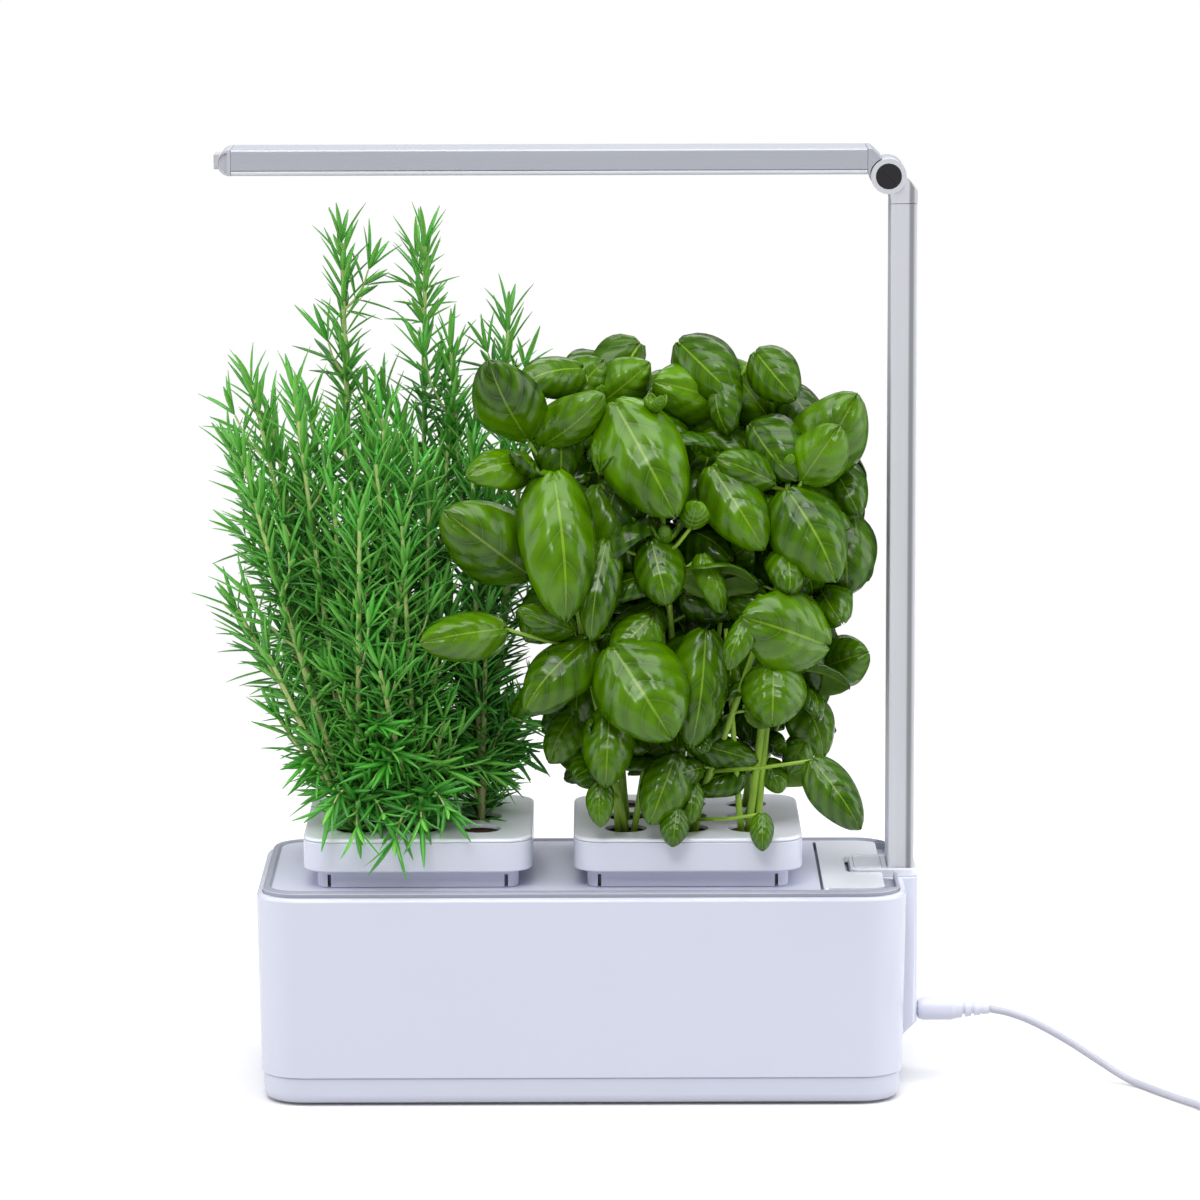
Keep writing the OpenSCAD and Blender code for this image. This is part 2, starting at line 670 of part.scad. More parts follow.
module post_strip() {
    color(white) translate([post_x - arm_t / 2 + strip_t / 2 + 0.05, 0, tongue_z + 0.2])
        linear_extrude(post_top - 0.4 - tongue_z) rounded_square(strip_t - 0.1, strip_w, 0.4);
}

module post_lead() {
    color("#d9d9d9") translate([post_x + 0.6, 0, 50]) cylinder(d = 2.4, h = post_top - 50 + 4, $fn = 24);
}

// Fork that the lamp turns in: a block on the post with two ears
module post_knuckle() {
    arm = [[hinge_x + 1.1, post_top + 0.3], [post_x + arm_t / 2, post_top + 0.3],
        [post_x + arm_t / 2, hinge_z - 6.2], [hinge_x + 7.2, hinge_z - 0.8], [hinge_x, hinge_z]];
    // the same outline carried on down, so that the channel runs out of the knuckle into the post
    run_out = [[hinge_x + 1.1, post_top - 5], [post_x + arm_t / 2, post_top - 5], arm[2], arm[3], arm[4]];
    color(aluminium) difference() {
        union() {
            difference() {
                rotate([90, 0, 0]) translate([0, 0, -arm_w / 2]) linear_extrude(arm_w) polygon(arm);
                for (side = [0, 1]) mirror([0, side, 0]) hull() {
                    translate([0, -arm_w / 2, 0]) rotate([90, 0, 0])
                        linear_extrude(1) offset(delta = -rib_w) polygon(run_out);
                    translate([0, channel_t - arm_w / 2, 0]) rotate([90, 0, 0])
                        linear_extrude(channel_t) offset(delta = -rib_w - channel_slope) polygon(run_out);
                }
            }
            translate([hinge_x, 0, hinge_z]) bar_y(ear_dia / 2, arm_w);
            translate([post_x, 0, post_top - 8])
                block(arm_t - 2 * arm_wall - 0.4, arm_w - 16, 8.5, 0.6);
        }
        translate([hinge_x, 0, hinge_z]) {
            bar_y(ear_dia / 2 + 0.4, barrel_w + 2 * washer_t);
            bar_y(pin_dia / 2, arm_w + 2);
            for (y = [-1, 1]) translate([0, y * arm_w / 2, 0]) bar_y(hinge_cap_dia / 2 + 0.05, 2.4);
        }
        translate([post_x + 0.6, 0, post_top - 20]) cylinder(d = 3.4, h = 26, $fn = 24);
    }
}

module hinge_pin() {
    color(steel) translate([hinge_x, 0, hinge_z]) bar_y(pin_dia / 2 - 0.02, arm_w - 2.8);
}

module hinge_cap(side) {
    color("#17171b") translate([hinge_x, side * (arm_w / 2 - 0.55), hinge_z]) difference() {
        bar_y(hinge_cap_dia / 2, 1.2);
        translate([0, side * 0.6, 0]) rotate([0, 45, 0])
            cube([hinge_cap_dia * 0.86, 0.5, 0.5], center = true);
    }
}

module friction_washers() {
    color(steel) translate([hinge_x, 0, hinge_z]) for (y = [-1, 1])
        translate([0, y * (barrel_w + washer_t) / 2, 0]) difference() {
            bar_y(ear_dia / 2 - 1, washer_t - 0.1);
            bar_y(pin_dia / 2 + 0.2, 3);
        }
}

module lamp_knuckle() {
    top = lamp_z + arm_t / 2;
    low = lamp_z - arm_t / 2;
    side = [[bar_x1 + 0.1, low], [hinge_x, low], [hinge_x, hinge_z + 6], [hinge_x - 1.2, top - 6],
        [hinge_x - 7.3, top], [bar_x1 + 0.1, top]];
    color(aluminium) difference() {
        union() {
            rotate([90, 0, 0]) translate([0, 0, -arm_w / 2]) linear_extrude(arm_w) polygon(side);
            translate([hinge_x, 0, hinge_z]) bar_y(ear_dia / 2 - 0.25, barrel_w);
            // tenon inside the bar
            translate([bar_x1 - 7, 4 - arm_w / 2, lamp_z - 0.6]) cube([8, arm_w - 8, 3]);
        }
        translate([hinge_x, 0, hinge_z]) {
            for (y = [-1, 1]) translate([0, y * (barrel_w + ear_t + 4) / 2, 0])
                bar_y(ear_dia / 2 + 0.5, ear_t + 4);
            bar_y(pin_dia / 2 + run, arm_w + 2);
        }
        translate([bar_x1 - 9, 0, lamp_z + 0.9]) bar_x(1.4, 12);
    }
}

// Inverted channel of the lamp bar, drawn across the bar
module bar_section() {
    difference() {
        rounded_square(arm_w, arm_t, 1.1);
        translate([0, -arm_t + skin]) square([arm_w + 2, arm_t], center = true);
        translate([0, -arm_wall]) square([arm_w - 2 * arm_wall, arm_t], center = true);
    }
    // ledges that hold the board
    for (x = [-1, 1]) translate([x * (arm_w / 2 - arm_wall - 0.6), 0.6]) square([1.8, 1], center = true);
}

module along_bar(x0, l) {
    translate([x0, 0, lamp_z]) rotate([90, 0, 90]) linear_extrude(l) children();
}

module lamp_bar() {
    color(aluminium) along_bar(bar_x0, bar_x1 - bar_x0) bar_section();
}

board_w = arm_w - 2 * arm_wall - 0.6;

module led_board() {
    color("#e9ecef") translate([bar_x0 + 3, -board_w / 2, lamp_z + 1.15])
        cube([bar_x1 - bar_x0 - 12, board_w, 1.2]);
}

module led_chips() {
    step = (bar_x1 - bar_x0 - 30) / (led_count - 1);
    color("#f4e27a") for (i = [0:led_count - 1])
        translate([bar_x0 + 12 + i * step, 0, lamp_z + 0.75]) cube([5, 5, 0.8], center = true);
}

module lamp_lead() {
    color("#d9d9d9") translate([bar_x1 - 8, 0, lamp_z + 0.9]) bar_x(1.2, 10);
}

module diffuser() {
    lip = 3.6;
    color("#f7f7fb") along_bar(bar_x0 + 0.1, bar_x1 - bar_x0 - 0.2) {
        difference() {
            translate([0, -arm_t / 2 + skin / 2]) rounded_square(arm_w, skin - 0.2, 0.9);
            translate([0, -arm_t / 2 + skin]) square([arm_w - 6, skin * 1.1], center = true);
        }
        for (x = [-1, 1]) translate([x * (arm_w / 2 - arm_wall - 0.7), lip / 2 - arm_t / 2 + 0.9])
            square([0.8, lip], center = true);
    }
}

module lamp_end_cap() {
    color(white) difference() {
        union() {
            translate([bar_x0 - 0.1, 0, lamp_z]) intersection() {
                bar_y(arm_t / 2, arm_w);
                translate([-arm_t, -arm_w / 2, -arm_t]) cube([arm_t, arm_w, 2 * arm_t]);
            }
            // thumb tab
            translate([bar_x0 - arm_t / 2 - 2, -7, lamp_z - 3.2]) cube([3, 14, 6.4]);
            translate([bar_x0 - 0.2, 5 - arm_w / 2, lamp_z + 2.5]) cube([2.8, arm_w - 10, 1.6]);
        }
        for (y = [-1, 1]) translate([bar_x0 - 1, y * arm_w / 2, lamp_z]) intersection() {
            bar_y(arm_t / 2 - 1.3, 1.6);
            translate([-arm_t, -2, -arm_t]) cube([arm_t - 0.6, 4, 2 * arm_t]);
        }
    }
}

// ---- filler lid ----

module filler_lid() {
    color(white) {
        difference() {
            translate([(lid_x0 + lid_x1) / 2, 0, lid_z - lid_t]) block(lid_l, lid_w, lid_t, 1.2);
            translate([notch_x0 + 30, 0, lid_z - lid_t - 1]) block(60, notch_d, 10, 4);
            for (y = [-1, 1]) translate([lid_x1 - 5, y * (lid_w / 2 - 5), lid_z - lid_t - 1]) difference() {
                translate([0, y > 0 ? 0 : -10, 0]) cube([10, 10, 10]);
                cylinder(r = 5, h = 10, $fn = 64);
            }
            // thumb scoops on the underside of the free edge
            for (y = [-1, 1]) translate([lid_x1 + 0.5, y * (lid_w / 2 - 16), lid_z - lid_t])
                rotate([0, 45, 0]) cube([2, 16, 2], center = true);
        }
        for (y = [-1, 1]) translate([lid_pin_x, y * (lid_w / 2 + 0.6), lid_pin_z])
            bar_y(lid_pin_dia / 2, 3.8);
    }
}

// ---- planters ----

module holes(x) {
    for (i = [-1:1], j = [-1:1]) translate([x + i * hole_pitch, j * hole_pitch, 0]) children();
}

module basket(x) {
    foot_w = basket_w - 6;
    groove_w = ring_w - 2 * plastic;
    inner_w = basket_w - 2 * plastic;
    color(white) difference() {
        union() {
            // ring that stands on the deck, with a groove behind it
            difference() {
                loft([around(x, ring_w, ring_w, 6, ring_z), around(x, ring_w, ring_w, 6, box_z)]);
                loft([
                    around(x, groove_w, groove_w, 5, ring_z - 1),
                    around(x, groove_w, groove_w, 5, box_z - plastic)
                ]);
            }
            loft([
                around(x, foot_w, foot_w, 8, basket_z), around(x, basket_w, basket_w, 8, deck_z - 4),
                around(x, basket_w, basket_w, 8, box_z - plastic / 2)
            ]);
        }
        loft([
            around(x, foot_w - 2 * plastic, foot_w - 2 * plastic, 7, basket_z + plastic),
            around(x, inner_w, inner_w, 7, deck_z - 4), around(x, inner_w, inner_w, 7, box_z + 1)
        ]);
        // air slots at the ring's corners
        for (a = [0:90:270]) translate([x, 0, ring_z - 1]) rotate(a)
            for (s = [-1, 1]) translate([s * (ring_w / 2 - 5.4) - 0.75, ring_w / 2 - 3, 0])
                cube([1.5, 6, ring_h - 1]);
        // slots for the wicks
        for (s = [-1, 1]) translate([x + s * wick_x, 0, basket_z])
            cube([wick_t + 0.6, wick_w + 1, 10], center = true);
    }
}

wick_x = 18;
wick_w = 14;
wick_t = 2.4;

module box(x) {
    wall = 2;
    inner = box_w - 2 * wall;
    color(white) difference() {
        loft([
            around(x, box_w - 1.2, box_w - 1.2, box_corner, box_z + 0.1),
            around(x, box_w, box_w, box_corner, box_z + 0.7),
            around(x, box_w, box_w, box_corner, cap_z - cap_t - 0.5),
            around(x, box_w - 0.5, box_w - 0.5, box_corner, cap_z - cap_t - 0.15)
        ]);
        translate([x, 0, box_z + plastic]) block(inner, inner, box_h, box_corner - wall);
        translate([x, 0, box_z - 1]) block(basket_w - 3, basket_w - 3, 5, 6);
    }
}

module cap(x) {
    lip = box_w - 4 - 2 * gap;
    color(white) difference() {
        union() {
            loft([
                around(x, box_w - 0.5, box_w - 0.5, box_corner, cap_z - cap_t),
                around(x, box_w, box_w, box_corner, cap_z - 0.75 * cap_t),
                around(x, box_w - 0.3, box_w - 0.3, box_corner, cap_z - 0.45 * cap_t),
                around(x, box_w - 1.2, box_w - 1.2, box_corner - 0.4, cap_z - 0.15 * cap_t),
                around(x, box_w - 3.4, box_w - 3.4, box_corner - 1.4, cap_z)
            ]);
            translate([x, 0, cap_z - cap_t - 2.4]) block(lip, lip, 3, box_corner - 2.5);
        }
        translate([x, 0, cap_z - cap_t - 4]) block(lip - 3, lip - 3, 4, box_corner - 4);
        holes(x) translate([0, 0, cap_z - cap_t - 1]) cylinder(d = hole_dia, h = cap_t + 2, $fn = 64);
    }
}

module medium(x) {
    top_w = basket_w - 2 * plastic - 0.6;
    low_w = top_w - 6;
    waist = deck_z - 3.5;
    color("#7b5f63") translate([x, 0, 0]) {
        translate([0, 0, basket_z + plastic + 0.2]) block(low_w, low_w, waist - basket_z - plastic, 7);
        translate([0, 0, waist]) block(top_w, top_w, medium_top - waist, 7);
    }
}

module wicks(x) {
    color("#d8d2c4") for (s = [-1, 1])
        translate([x + s * wick_x - wick_t / 2, -wick_w / 2, tank_z + tank_wall + 0.4])
            cube([wick_t, wick_w, basket_z + plastic - tank_z - tank_wall - 0.4]);
}

// ---- plants ----

// A sprig is [column, row, tip x, tip y, height]: its foot is a planting hole and its tip leans out
function sprig_at(s, t) = let (
    foot = [s[0] * hole_pitch, s[1] * hole_pitch, 0],
    tip = [s[2], s[3], s[4]],
    knee = [foot[0] + 0.55 * (tip[0] - foot[0]), foot[1] + 0.55 * (tip[1] - foot[1]), tip[2] / 2]
) bend(foot, knee, tip, t);

module stem(s, r0, r1, steps, sides) {
    tube([for (i = [0:steps]) sprig_at(s, i / steps)],
        [for (i = [0:steps]) r0 + (r1 - r0) * i / steps], sides);
}

// Closed body with pointed ends, its rings anticlockwise seen from the tip
module spindle(foot, rings, tip) {
    n = len(rings[0]);
    last = len(rings) - 1;
    end = 1 + n * (last + 1);
    polyhedron(points = concat([foot], [for (r = rings) each r], [tip]), faces = concat(
        [for (i = [0:n - 1]) [0, 1 + i, 1 + (i + 1) % n]],
        [for (k = [0:1:last - 1]) for (i = [0:n - 1]) let (a = 1 + k * n + i, b = 1 + k * n + (i + 1) % n)
            each [[a, a + n, b + n], [a, b + n, b]]],
        [for (i = [0:n - 1]) [end, 1 + n * last + (i + 1) % n, 1 + n * last + i]]));
}

module needle(foot, tip, w) {
    hull() spindle(foot, [ring_at(foot + 0.4 * (tip - foot), tip - foot, w / 2, 3)], tip);
}

module sprig(s, seed) {
    pitch = 40;
    length = 18;
    low = 12;
    count = floor((s[4] - low) / pitch);
    stem(s, 1.5, 0.8, 4, 4);
    for (i = [0:count]) let (
        t = (low + i * pitch) / s[4],
        at = sprig_at(s, min(t, 1)),
        up = unit(sprig_at(s, min(t + 0.05, 1.05)) - at),
        rise = 0.35 + 0.9 * t * t
    ) for (k = [0:1]) let (
        a = seed * 53 + i * 137.5 + k * 180,
        out = [cos(a), 0.8 * sin(a), rise]
    ) needle(at - 0.5 * up, at + length * unit(out), 2.4);
    // the growing tip
    needle(sprig_at(s, 0.97), sprig_at(s, 1) + [0, 0, 6], 3);
}

module rosemary() {
    color(needle_green) translate([planter_x[0], 0, stem_z]) for (i = [0:len(SPRIGS) - 1])
        sprig(SPRIGS[i], i);
}

// Blade between its base and its tip: domed along its length and cupped across
function leaf_along(l) = [l[4] - l[1], l[5] - l[2], l[6] - l[3]];
function leaf_across(l) = unit(cross(leaf_along(l), [sin(l[8]), -cos(l[8]), 0.25]));
function leaf_face(l) = unit(cross(leaf_across(l), leaf_along(l)));
function leaf_mid(l, t) = [l[1], l[2], l[3]] + t * leaf_along(l)
    + 0.48 * t * (1 - t) * norm(leaf_along(l)) * leaf_face(l);

module leaf(l) {
    across = leaf_across(l);
    face = leaf_face(l);
    spindle(leaf_mid(l, 0), [for (t = [0.2, 0.5, 0.8]) let (
        half = l[7] / 2 * pow(sin(180 * pow(t, 0.85)), 0.7),
        mid = leaf_mid(l, t),
        edge = mid - 0.28 * half * face
    ) [mid + 0.7 * face, edge + half * across, mid - 0.7 * face, edge - half * across]], leaf_mid(l, 1));
}

// how far below its blade a leaf's stalk leaves the stem
leaf_hang = 12;

// Leaf stalk, from inside its stem into the blade; hull() keeps it one closed solid
module petiole(l) {
    s = BASIL_STEMS[l[0]];
    root = sprig_at(s, min(max(l[3] - leaf_hang, leaf_hang / 2) / s[4], 0.99));
    hull() tube([root, leaf_mid(l, 0.02)], [1, 0.9], 3);
}

module basil() {
    color(leaf_green) translate([planter_x[1], 0, stem_z]) {
        for (s = BASIL_STEMS) stem(s, 2, 1.2, 5, 5);
        for (l = BASIL_LEAVES) {
            leaf(l);
            petiole(l);
        }
    }
}

// ---- power cord ----

module dc_plug() {
    color(white) translate([plug_x, plug_y, jack_z]) rotate([0, 90, 0]) difference() {
        union() {
            rotate_extrude($fn = 64) polygon([
                [0, 0], [3.4, 0], [4.5, 0.6], [plug_dia / 2, 2.6], [plug_dia / 2, plug_l - 2],
                [plug_dia / 2 - 0.6, plug_l], [cord_dia / 2 + 0.7, plug_l + relief_l], [0, plug_l + relief_l]
            ]);
        }
        for (i = [0:2]) translate([0, 0, plug_l + 3 + 4 * i]) difference() {
            cylinder(r = 8, h = 1.2, $fn = 48);
            cylinder(r = cord_dia / 2 + 0.75, h = 1.2, $fn = 48);
        }
        translate([0, 0, -1]) cylinder(d = barrel_dia, h = 1 + 2, $fn = 48);
    }
}

module plug_barrel() {
    l = 8.6;
    color("#8d8f94") translate([plug_x - l, plug_y, jack_z]) difference() {
        bar_x(barrel_dia / 2, l + 2);
        translate([-1, 0, 0]) bar_x(1.05, l + 1);
    }
}

module cord() {
    points = concat([[cord_x, plug_y, jack_z]], CORD_POINTS);
    color(white) tube(points, [for (p = points) cord_dia / 2], 8);
}

module cord_tail() {
    color(white) tube(TAIL_POINTS, [for (p = TAIL_POINTS) cord_dia / 2], 8);
}

module cord_coil() {
    color(white) translate([coil_x, coil_y, coil_z]) rotate_extrude($fn = 96)
        translate([coil_r, coil_h / 2]) rounded_square(coil_out - coil_in, coil_h, cord_dia / 2);
}

module coil_tie() {
    band = 0.6;
    r = (coil_in + coil_out) / 2;
    color("#2b2b2e") translate([coil_x, coil_y - r, coil_z + coil_h / 2]) rotate([0, 90, 0]) difference() {
        translate([0, 0, -4]) block(coil_h + 2 * band, coil_out - coil_in + 2 * band + 1.4, 8, 2);
        translate([0, 0, -5]) block(coil_h, coil_out - coil_in + 1.4, 10, 1.6);
    }
}

module wall_adapter() {
    w = 30;
    l = 54;
    h = 24;
    color(white) union() {
        translate([adapter_x, adapter_y + l / 2, adapter_z]) rotate([90, 0, 0]) translate([0, 0, -l / 2])
            block(w, h, l, 4);
        translate([adapter_x, adapter_y + 1, adapter_z]) rotate([90, 0, 0])
            cylinder(r1 = 4, r2 = cord_dia / 2 + 0.6, h = 10.5, $fn = 48);
    }
}

module adapter_blades() {
    color("#c9b27a") for (x = [-1, 1])
        translate([adapter_x + x * 6.35 - 0.75, adapter_y + 54, adapter_z - 3.15]) cube([1.5, 16, 6.3]);
}

// ---- nodes ----

outer_shell();
base_pan();
rubber_feet();
pan_screws();
water_tank();
deck();
foot_block();
key_board();
board_screws();
control_board();
dc_socket();
post_screws();
lamp_post();
post_strip();
post_lead();
post_knuckle();
hinge_pin();
hinge_cap(-1);  // hinge_cap_front
hinge_cap(1);  // hinge_cap_rear
friction_washers();
lamp_knuckle();
lamp_bar();
led_board();
led_chips();
lamp_lead();
diffuser();
lamp_end_cap();
filler_lid();
power_key();
basket(planter_x[0]);  // left_basket
box(planter_x[0]);  // left_box
cap(planter_x[0]);  // left_cap
medium(planter_x[0]);  // left_medium
wicks(planter_x[0]);  // left_wicks
basket(planter_x[1]);  // right_basket
box(planter_x[1]);  // right_box
cap(planter_x[1]);  // right_cap
medium(planter_x[1]);  // right_medium
wicks(planter_x[1]);  // right_wicks
rosemary();
basil();
dc_plug();
plug_barrel();
cord();
cord_coil();
coil_tie();
cord_tail();
wall_adapter();
adapter_blades();
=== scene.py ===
import json
import math
import random
from collections import namedtuple

import bmesh
import bpy
from mathutils import Matrix, Vector

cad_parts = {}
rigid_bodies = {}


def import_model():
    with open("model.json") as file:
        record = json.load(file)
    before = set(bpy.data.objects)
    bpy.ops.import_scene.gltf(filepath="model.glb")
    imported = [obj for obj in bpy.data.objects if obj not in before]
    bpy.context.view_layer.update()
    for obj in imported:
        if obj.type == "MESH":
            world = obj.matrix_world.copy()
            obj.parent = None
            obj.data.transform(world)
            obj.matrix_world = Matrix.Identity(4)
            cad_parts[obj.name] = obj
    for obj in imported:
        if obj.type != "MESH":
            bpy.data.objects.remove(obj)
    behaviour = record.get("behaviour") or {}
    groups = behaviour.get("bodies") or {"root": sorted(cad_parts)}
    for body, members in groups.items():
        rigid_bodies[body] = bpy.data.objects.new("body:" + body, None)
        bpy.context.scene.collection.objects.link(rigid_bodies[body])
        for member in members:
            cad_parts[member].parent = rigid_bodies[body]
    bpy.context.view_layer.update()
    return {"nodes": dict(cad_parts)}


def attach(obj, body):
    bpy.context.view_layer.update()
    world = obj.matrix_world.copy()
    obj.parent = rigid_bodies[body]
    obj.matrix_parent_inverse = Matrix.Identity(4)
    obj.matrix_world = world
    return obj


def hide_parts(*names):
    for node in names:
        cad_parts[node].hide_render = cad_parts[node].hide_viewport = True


# Countertop hydroponic garden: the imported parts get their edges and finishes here, and the plants,
# the cord, the light and the floor are made around them. Lengths are in millimetres until a mesh is made.

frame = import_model()
MM = 0.001


# ---- camera ----


def aim_camera(place, pitch, roll, lens):
    """Long lens, a little above the tank, looking slightly down; pitch and roll are in degrees."""
    data = bpy.data.cameras.new("camera")
    data.lens = lens
    data.sensor_width = 36
    data.clip_end = 50
    camera = bpy.data.objects.new("camera", data)
    camera.matrix_world = (
        Matrix.Translation(place)
        @ Matrix.Rotation(math.radians(90 - pitch), 4, "X")
        @ Matrix.Rotation(math.radians(roll), 4, "Z")
    )
    bpy.context.collection.objects.link(camera)
    bpy.context.scene.camera = camera


aim_camera(place=Vector((0.0085, -2.524, 0.630)), pitch=9.35, roll=-0.1547, lens=174.06)


# ---- nodes ----


def both_ways(operation):
    """An operator and its reflected form, each adding a Math node."""

    def forward(left, right):
        return left.maths(operation, left, right)

    def reflected(right, left):
        return right.maths(operation, left, right)

    return forward, reflected


class Level:
    """A socket whose arithmetic adds Math nodes to its tree."""

    def __init__(self, nodes, socket):
        self.nodes = nodes
        self.socket = socket

    def maths(self, operation, *values):
        return self.nodes.node("ShaderNodeMath", {"operation": operation}, dict(enumerate(values)))

    __add__, __radd__ = both_ways("ADD")
    __sub__, __rsub__ = both_ways("SUBTRACT")
    __mul__, __rmul__ = both_ways("MULTIPLY")
    __truediv__, __rtruediv__ = both_ways("DIVIDE")
    __pow__, __rpow__ = both_ways("POWER")
    __lt__, __gt__ = both_ways("LESS_THAN")[0], both_ways("GREATER_THAN")[0]

    def __abs__(self):
        return self.maths("ABSOLUTE", self)

    def fraction(self):
        return self.maths("FRACT", self)

    def floor(self):
        return self.maths("FLOOR", self)

    def sine(self):
        return self.maths("SINE", self)

    def at_least(self, low):
        return self.maths("MAXIMUM", self, low)


class Nodes:
    """A node tree and the one way of adding a node to it."""

    def __init__(self, tree):
        self.tree = tree

    def node(self, kind, settings=None, values=None, out=0):
        """Adds a node: its settings first, then its sockets' values or links; gives the outputs named."""
        made = self.tree.nodes.new(kind)
        for name, value in (settings or {}).items():
            setattr(made, name, value)
        for name, value in (values or {}).items():
            self.feed(made.inputs[name], value)
        if isinstance(out, tuple):
            return tuple(Level(self, made.outputs[name]) for name in out)
        return Level(self, made.outputs[out])

    def feed(self, socket, value):
        if isinstance(value, Level):
            self.tree.links.new(value.socket, socket)
        elif socket.type == "RGBA":
            socket.default_value = (*value, 1)
        else:
            socket.default_value = value


# ---- finishes ----


class Finish(Nodes):
    """One material: its shader and the nodes that vary it."""

    def __init__(self, name, color=None, roughness=0.5, metallic=0.0, coat=0.0):
        self.material = bpy.data.materials.new(name)
        self.material.use_nodes = True
        super().__init__(self.material.node_tree)
        self.shader = self.tree.nodes["Principled BSDF"]
        if color:
            self.set("Base Color", color)
        self.set("Roughness", roughness)
        self.set("Metallic", metallic)
        self.set("Coat Weight", coat)

    def set(self, name, value):
        self.feed(self.shader.inputs[name], value)

    def place(self, scale=(1, 1, 1)):
        """Object coordinates, stretched by a Mapping node."""
        at = self.node("ShaderNodeTexCoord", out="Object")
        return self.node("ShaderNodeMapping", values={"Vector": at, "Scale": scale})

    def along(self, axis):
        """The object coordinate along one axis, in metres."""
        at = self.node("ShaderNodeTexCoord", out="Object")
        return self.node("ShaderNodeSeparateXYZ", values={0: at}, out=axis)

    def mark(self, name):
        """A number that the mesh carries."""
        return self.node("ShaderNodeAttribute", {"attribute_name": name}, out="Fac")

    def grain(self, at, scale, detail=2.0, roughness=0.5):
        values = {"Vector": at, "Scale": scale, "Detail": detail, "Roughness": roughness}
        return self.node("ShaderNodeTexNoise", values=values)

    def cells(self, at, scale, feature="F1"):
        values = {"Vector": at, "Scale": scale}
        return self.node("ShaderNodeTexVoronoi", {"feature": feature}, values, out="Distance")

    def blend(self, amount, low, high):
        return self.node("ShaderNodeMix", {"data_type": "RGBA"}, {0: amount, 6: low, 7: high}, out=2)

    def relief(self, height, distance, strength=1.0):
        values = {"Height": height, "Distance": distance, "Strength": strength}
        self.set("Normal", self.node("ShaderNodeBump", values=values))


def shade(red, green, blue):
    """Linear colour of an sRGB one given in 0 to 255."""
    parts = (c / 255 for c in (red, green, blue))
    return tuple(c / 12.92 if c <= 0.04045 else ((c + 0.055) / 1.055) ** 2.4 for c in parts)


def darker(color, share):
    return tuple(c * share for c in color)


DECK_TOP = 94.6


def moulded(name, color, roughness, coat=0.0, speck=0.02, texture=0.0000015, painted_edge_shade=None):
    """Moulded plastic: faintly clouded, with the mould's fine texture. Off the deck's top, a raised edge
    takes a painted shade.
    """
    made = Finish(name, roughness=roughness, coat=coat)
    cloud = made.grain(made.place(), 28, 3)
    skin_color = made.blend(cloud, color, darker(color, 1 - 3 * speck))
    if painted_edge_shade:
        # off the deck's top, its raised edge and walls are darker: painted shade, as if lit less
        off_deck = abs(made.along("Z") - DECK_TOP * MM) * 9000 - 0.5
        skin_color = made.blend(off_deck, skin_color, painted_edge_shade)
    made.set("Base Color", skin_color)
    made.set("Roughness", roughness + (cloud - 0.5) * 0.05)
    made.relief(made.grain(made.place(), 600), texture)
    return made.material


def brushed(name, color, roughness, stretch, metallic, painted_reflection_band=None):
    """Anodised aluminium drawn along one axis: fine lines in gloss, tone and relief; a painted dark
    reflection by X.
    """
    made = Finish(name, metallic=metallic)
    lines = made.grain(made.place(stretch), 60, 4, 0.7)
    cloud = made.grain(made.place(), 16)
    metal = made.blend(lines * 0.7 + cloud * 0.3, color, darker(color, 0.84))
    if painted_reflection_band:
        # a band by X painted dark, standing in for the plants mirrored in the slope of the post's channel
        middle, half = painted_reflection_band
        line = 1 - abs(made.along("X") - middle * MM) / (half * MM)
        metal = made.blend(line * 1.6, metal, darker(color, 0.4))
    made.set("Base Color", metal)
    made.set("Roughness", roughness + (lines - 0.5) * 0.16)
    made.relief(lines, 0.00003, 0.5)
    return made.material


def lined_metal(name, color, stretch, scale, gloss, spread):
    """Turned or plated metal, with fine lines in its gloss."""
    made = Finish(name, color, metallic=1.0)
    lines = made.grain(made.place(stretch), scale, 3)
    made.set("Roughness", gloss + lines * spread)
    made.relief(lines, 0.00001)
    return made.material


def grained(name, light, dark, roughness, scale, depth, stretch=(1, 1, 1), detail=3, fine=0.5):
    """Two tones mingled by a grain, which is also the relief of its depth in metres."""
    made = Finish(name, roughness=roughness)
    grain = made.grain(made.place(stretch), scale, detail, fine)
    made.set("Base Color", made.blend(grain, light, dark))
    if depth:
        made.relief(grain, depth)
    return made.material


def circuit_board(name, lacquer):
    """Lacquered board with paler copper tracks."""
    made = Finish(name, roughness=0.4)
    tracks = made.cells(made.place(), 260, "DISTANCE_TO_EDGE")
    pale = tuple(min(1, c * 1.5 + 0.02) for c in lacquer)
    made.set("Base Color", made.blend(tracks < 0.07, lacquer, pale))
    made.relief(tracks, 0.00002)
    return made.material


def pressed_medium():
    """Pressed peat and coir: coarse red-brown crumbs with pale fibres."""
    made = Finish("pressed_medium", roughness=0.95)
    crumbs = made.cells(made.place(), 620)
    fibre = made.grain(made.place((1, 6, 1)), 300, 4, 0.7)
    warm = made.blend(crumbs * 1.6, shade(126, 70, 48), shade(44, 24, 18))
    made.set("Base Color", made.blend((fibre > 0.62) * 0.55, warm, shade(158, 118, 84)))
    made.relief(fibre - crumbs, 0.0009)
    return made.material


# side veins in a basil leaf, and how far they run forward and then curve on their way to its edge
VEINS = 5
VEIN_SWEEP = 0.26
VEIN_CURVE = 0.12


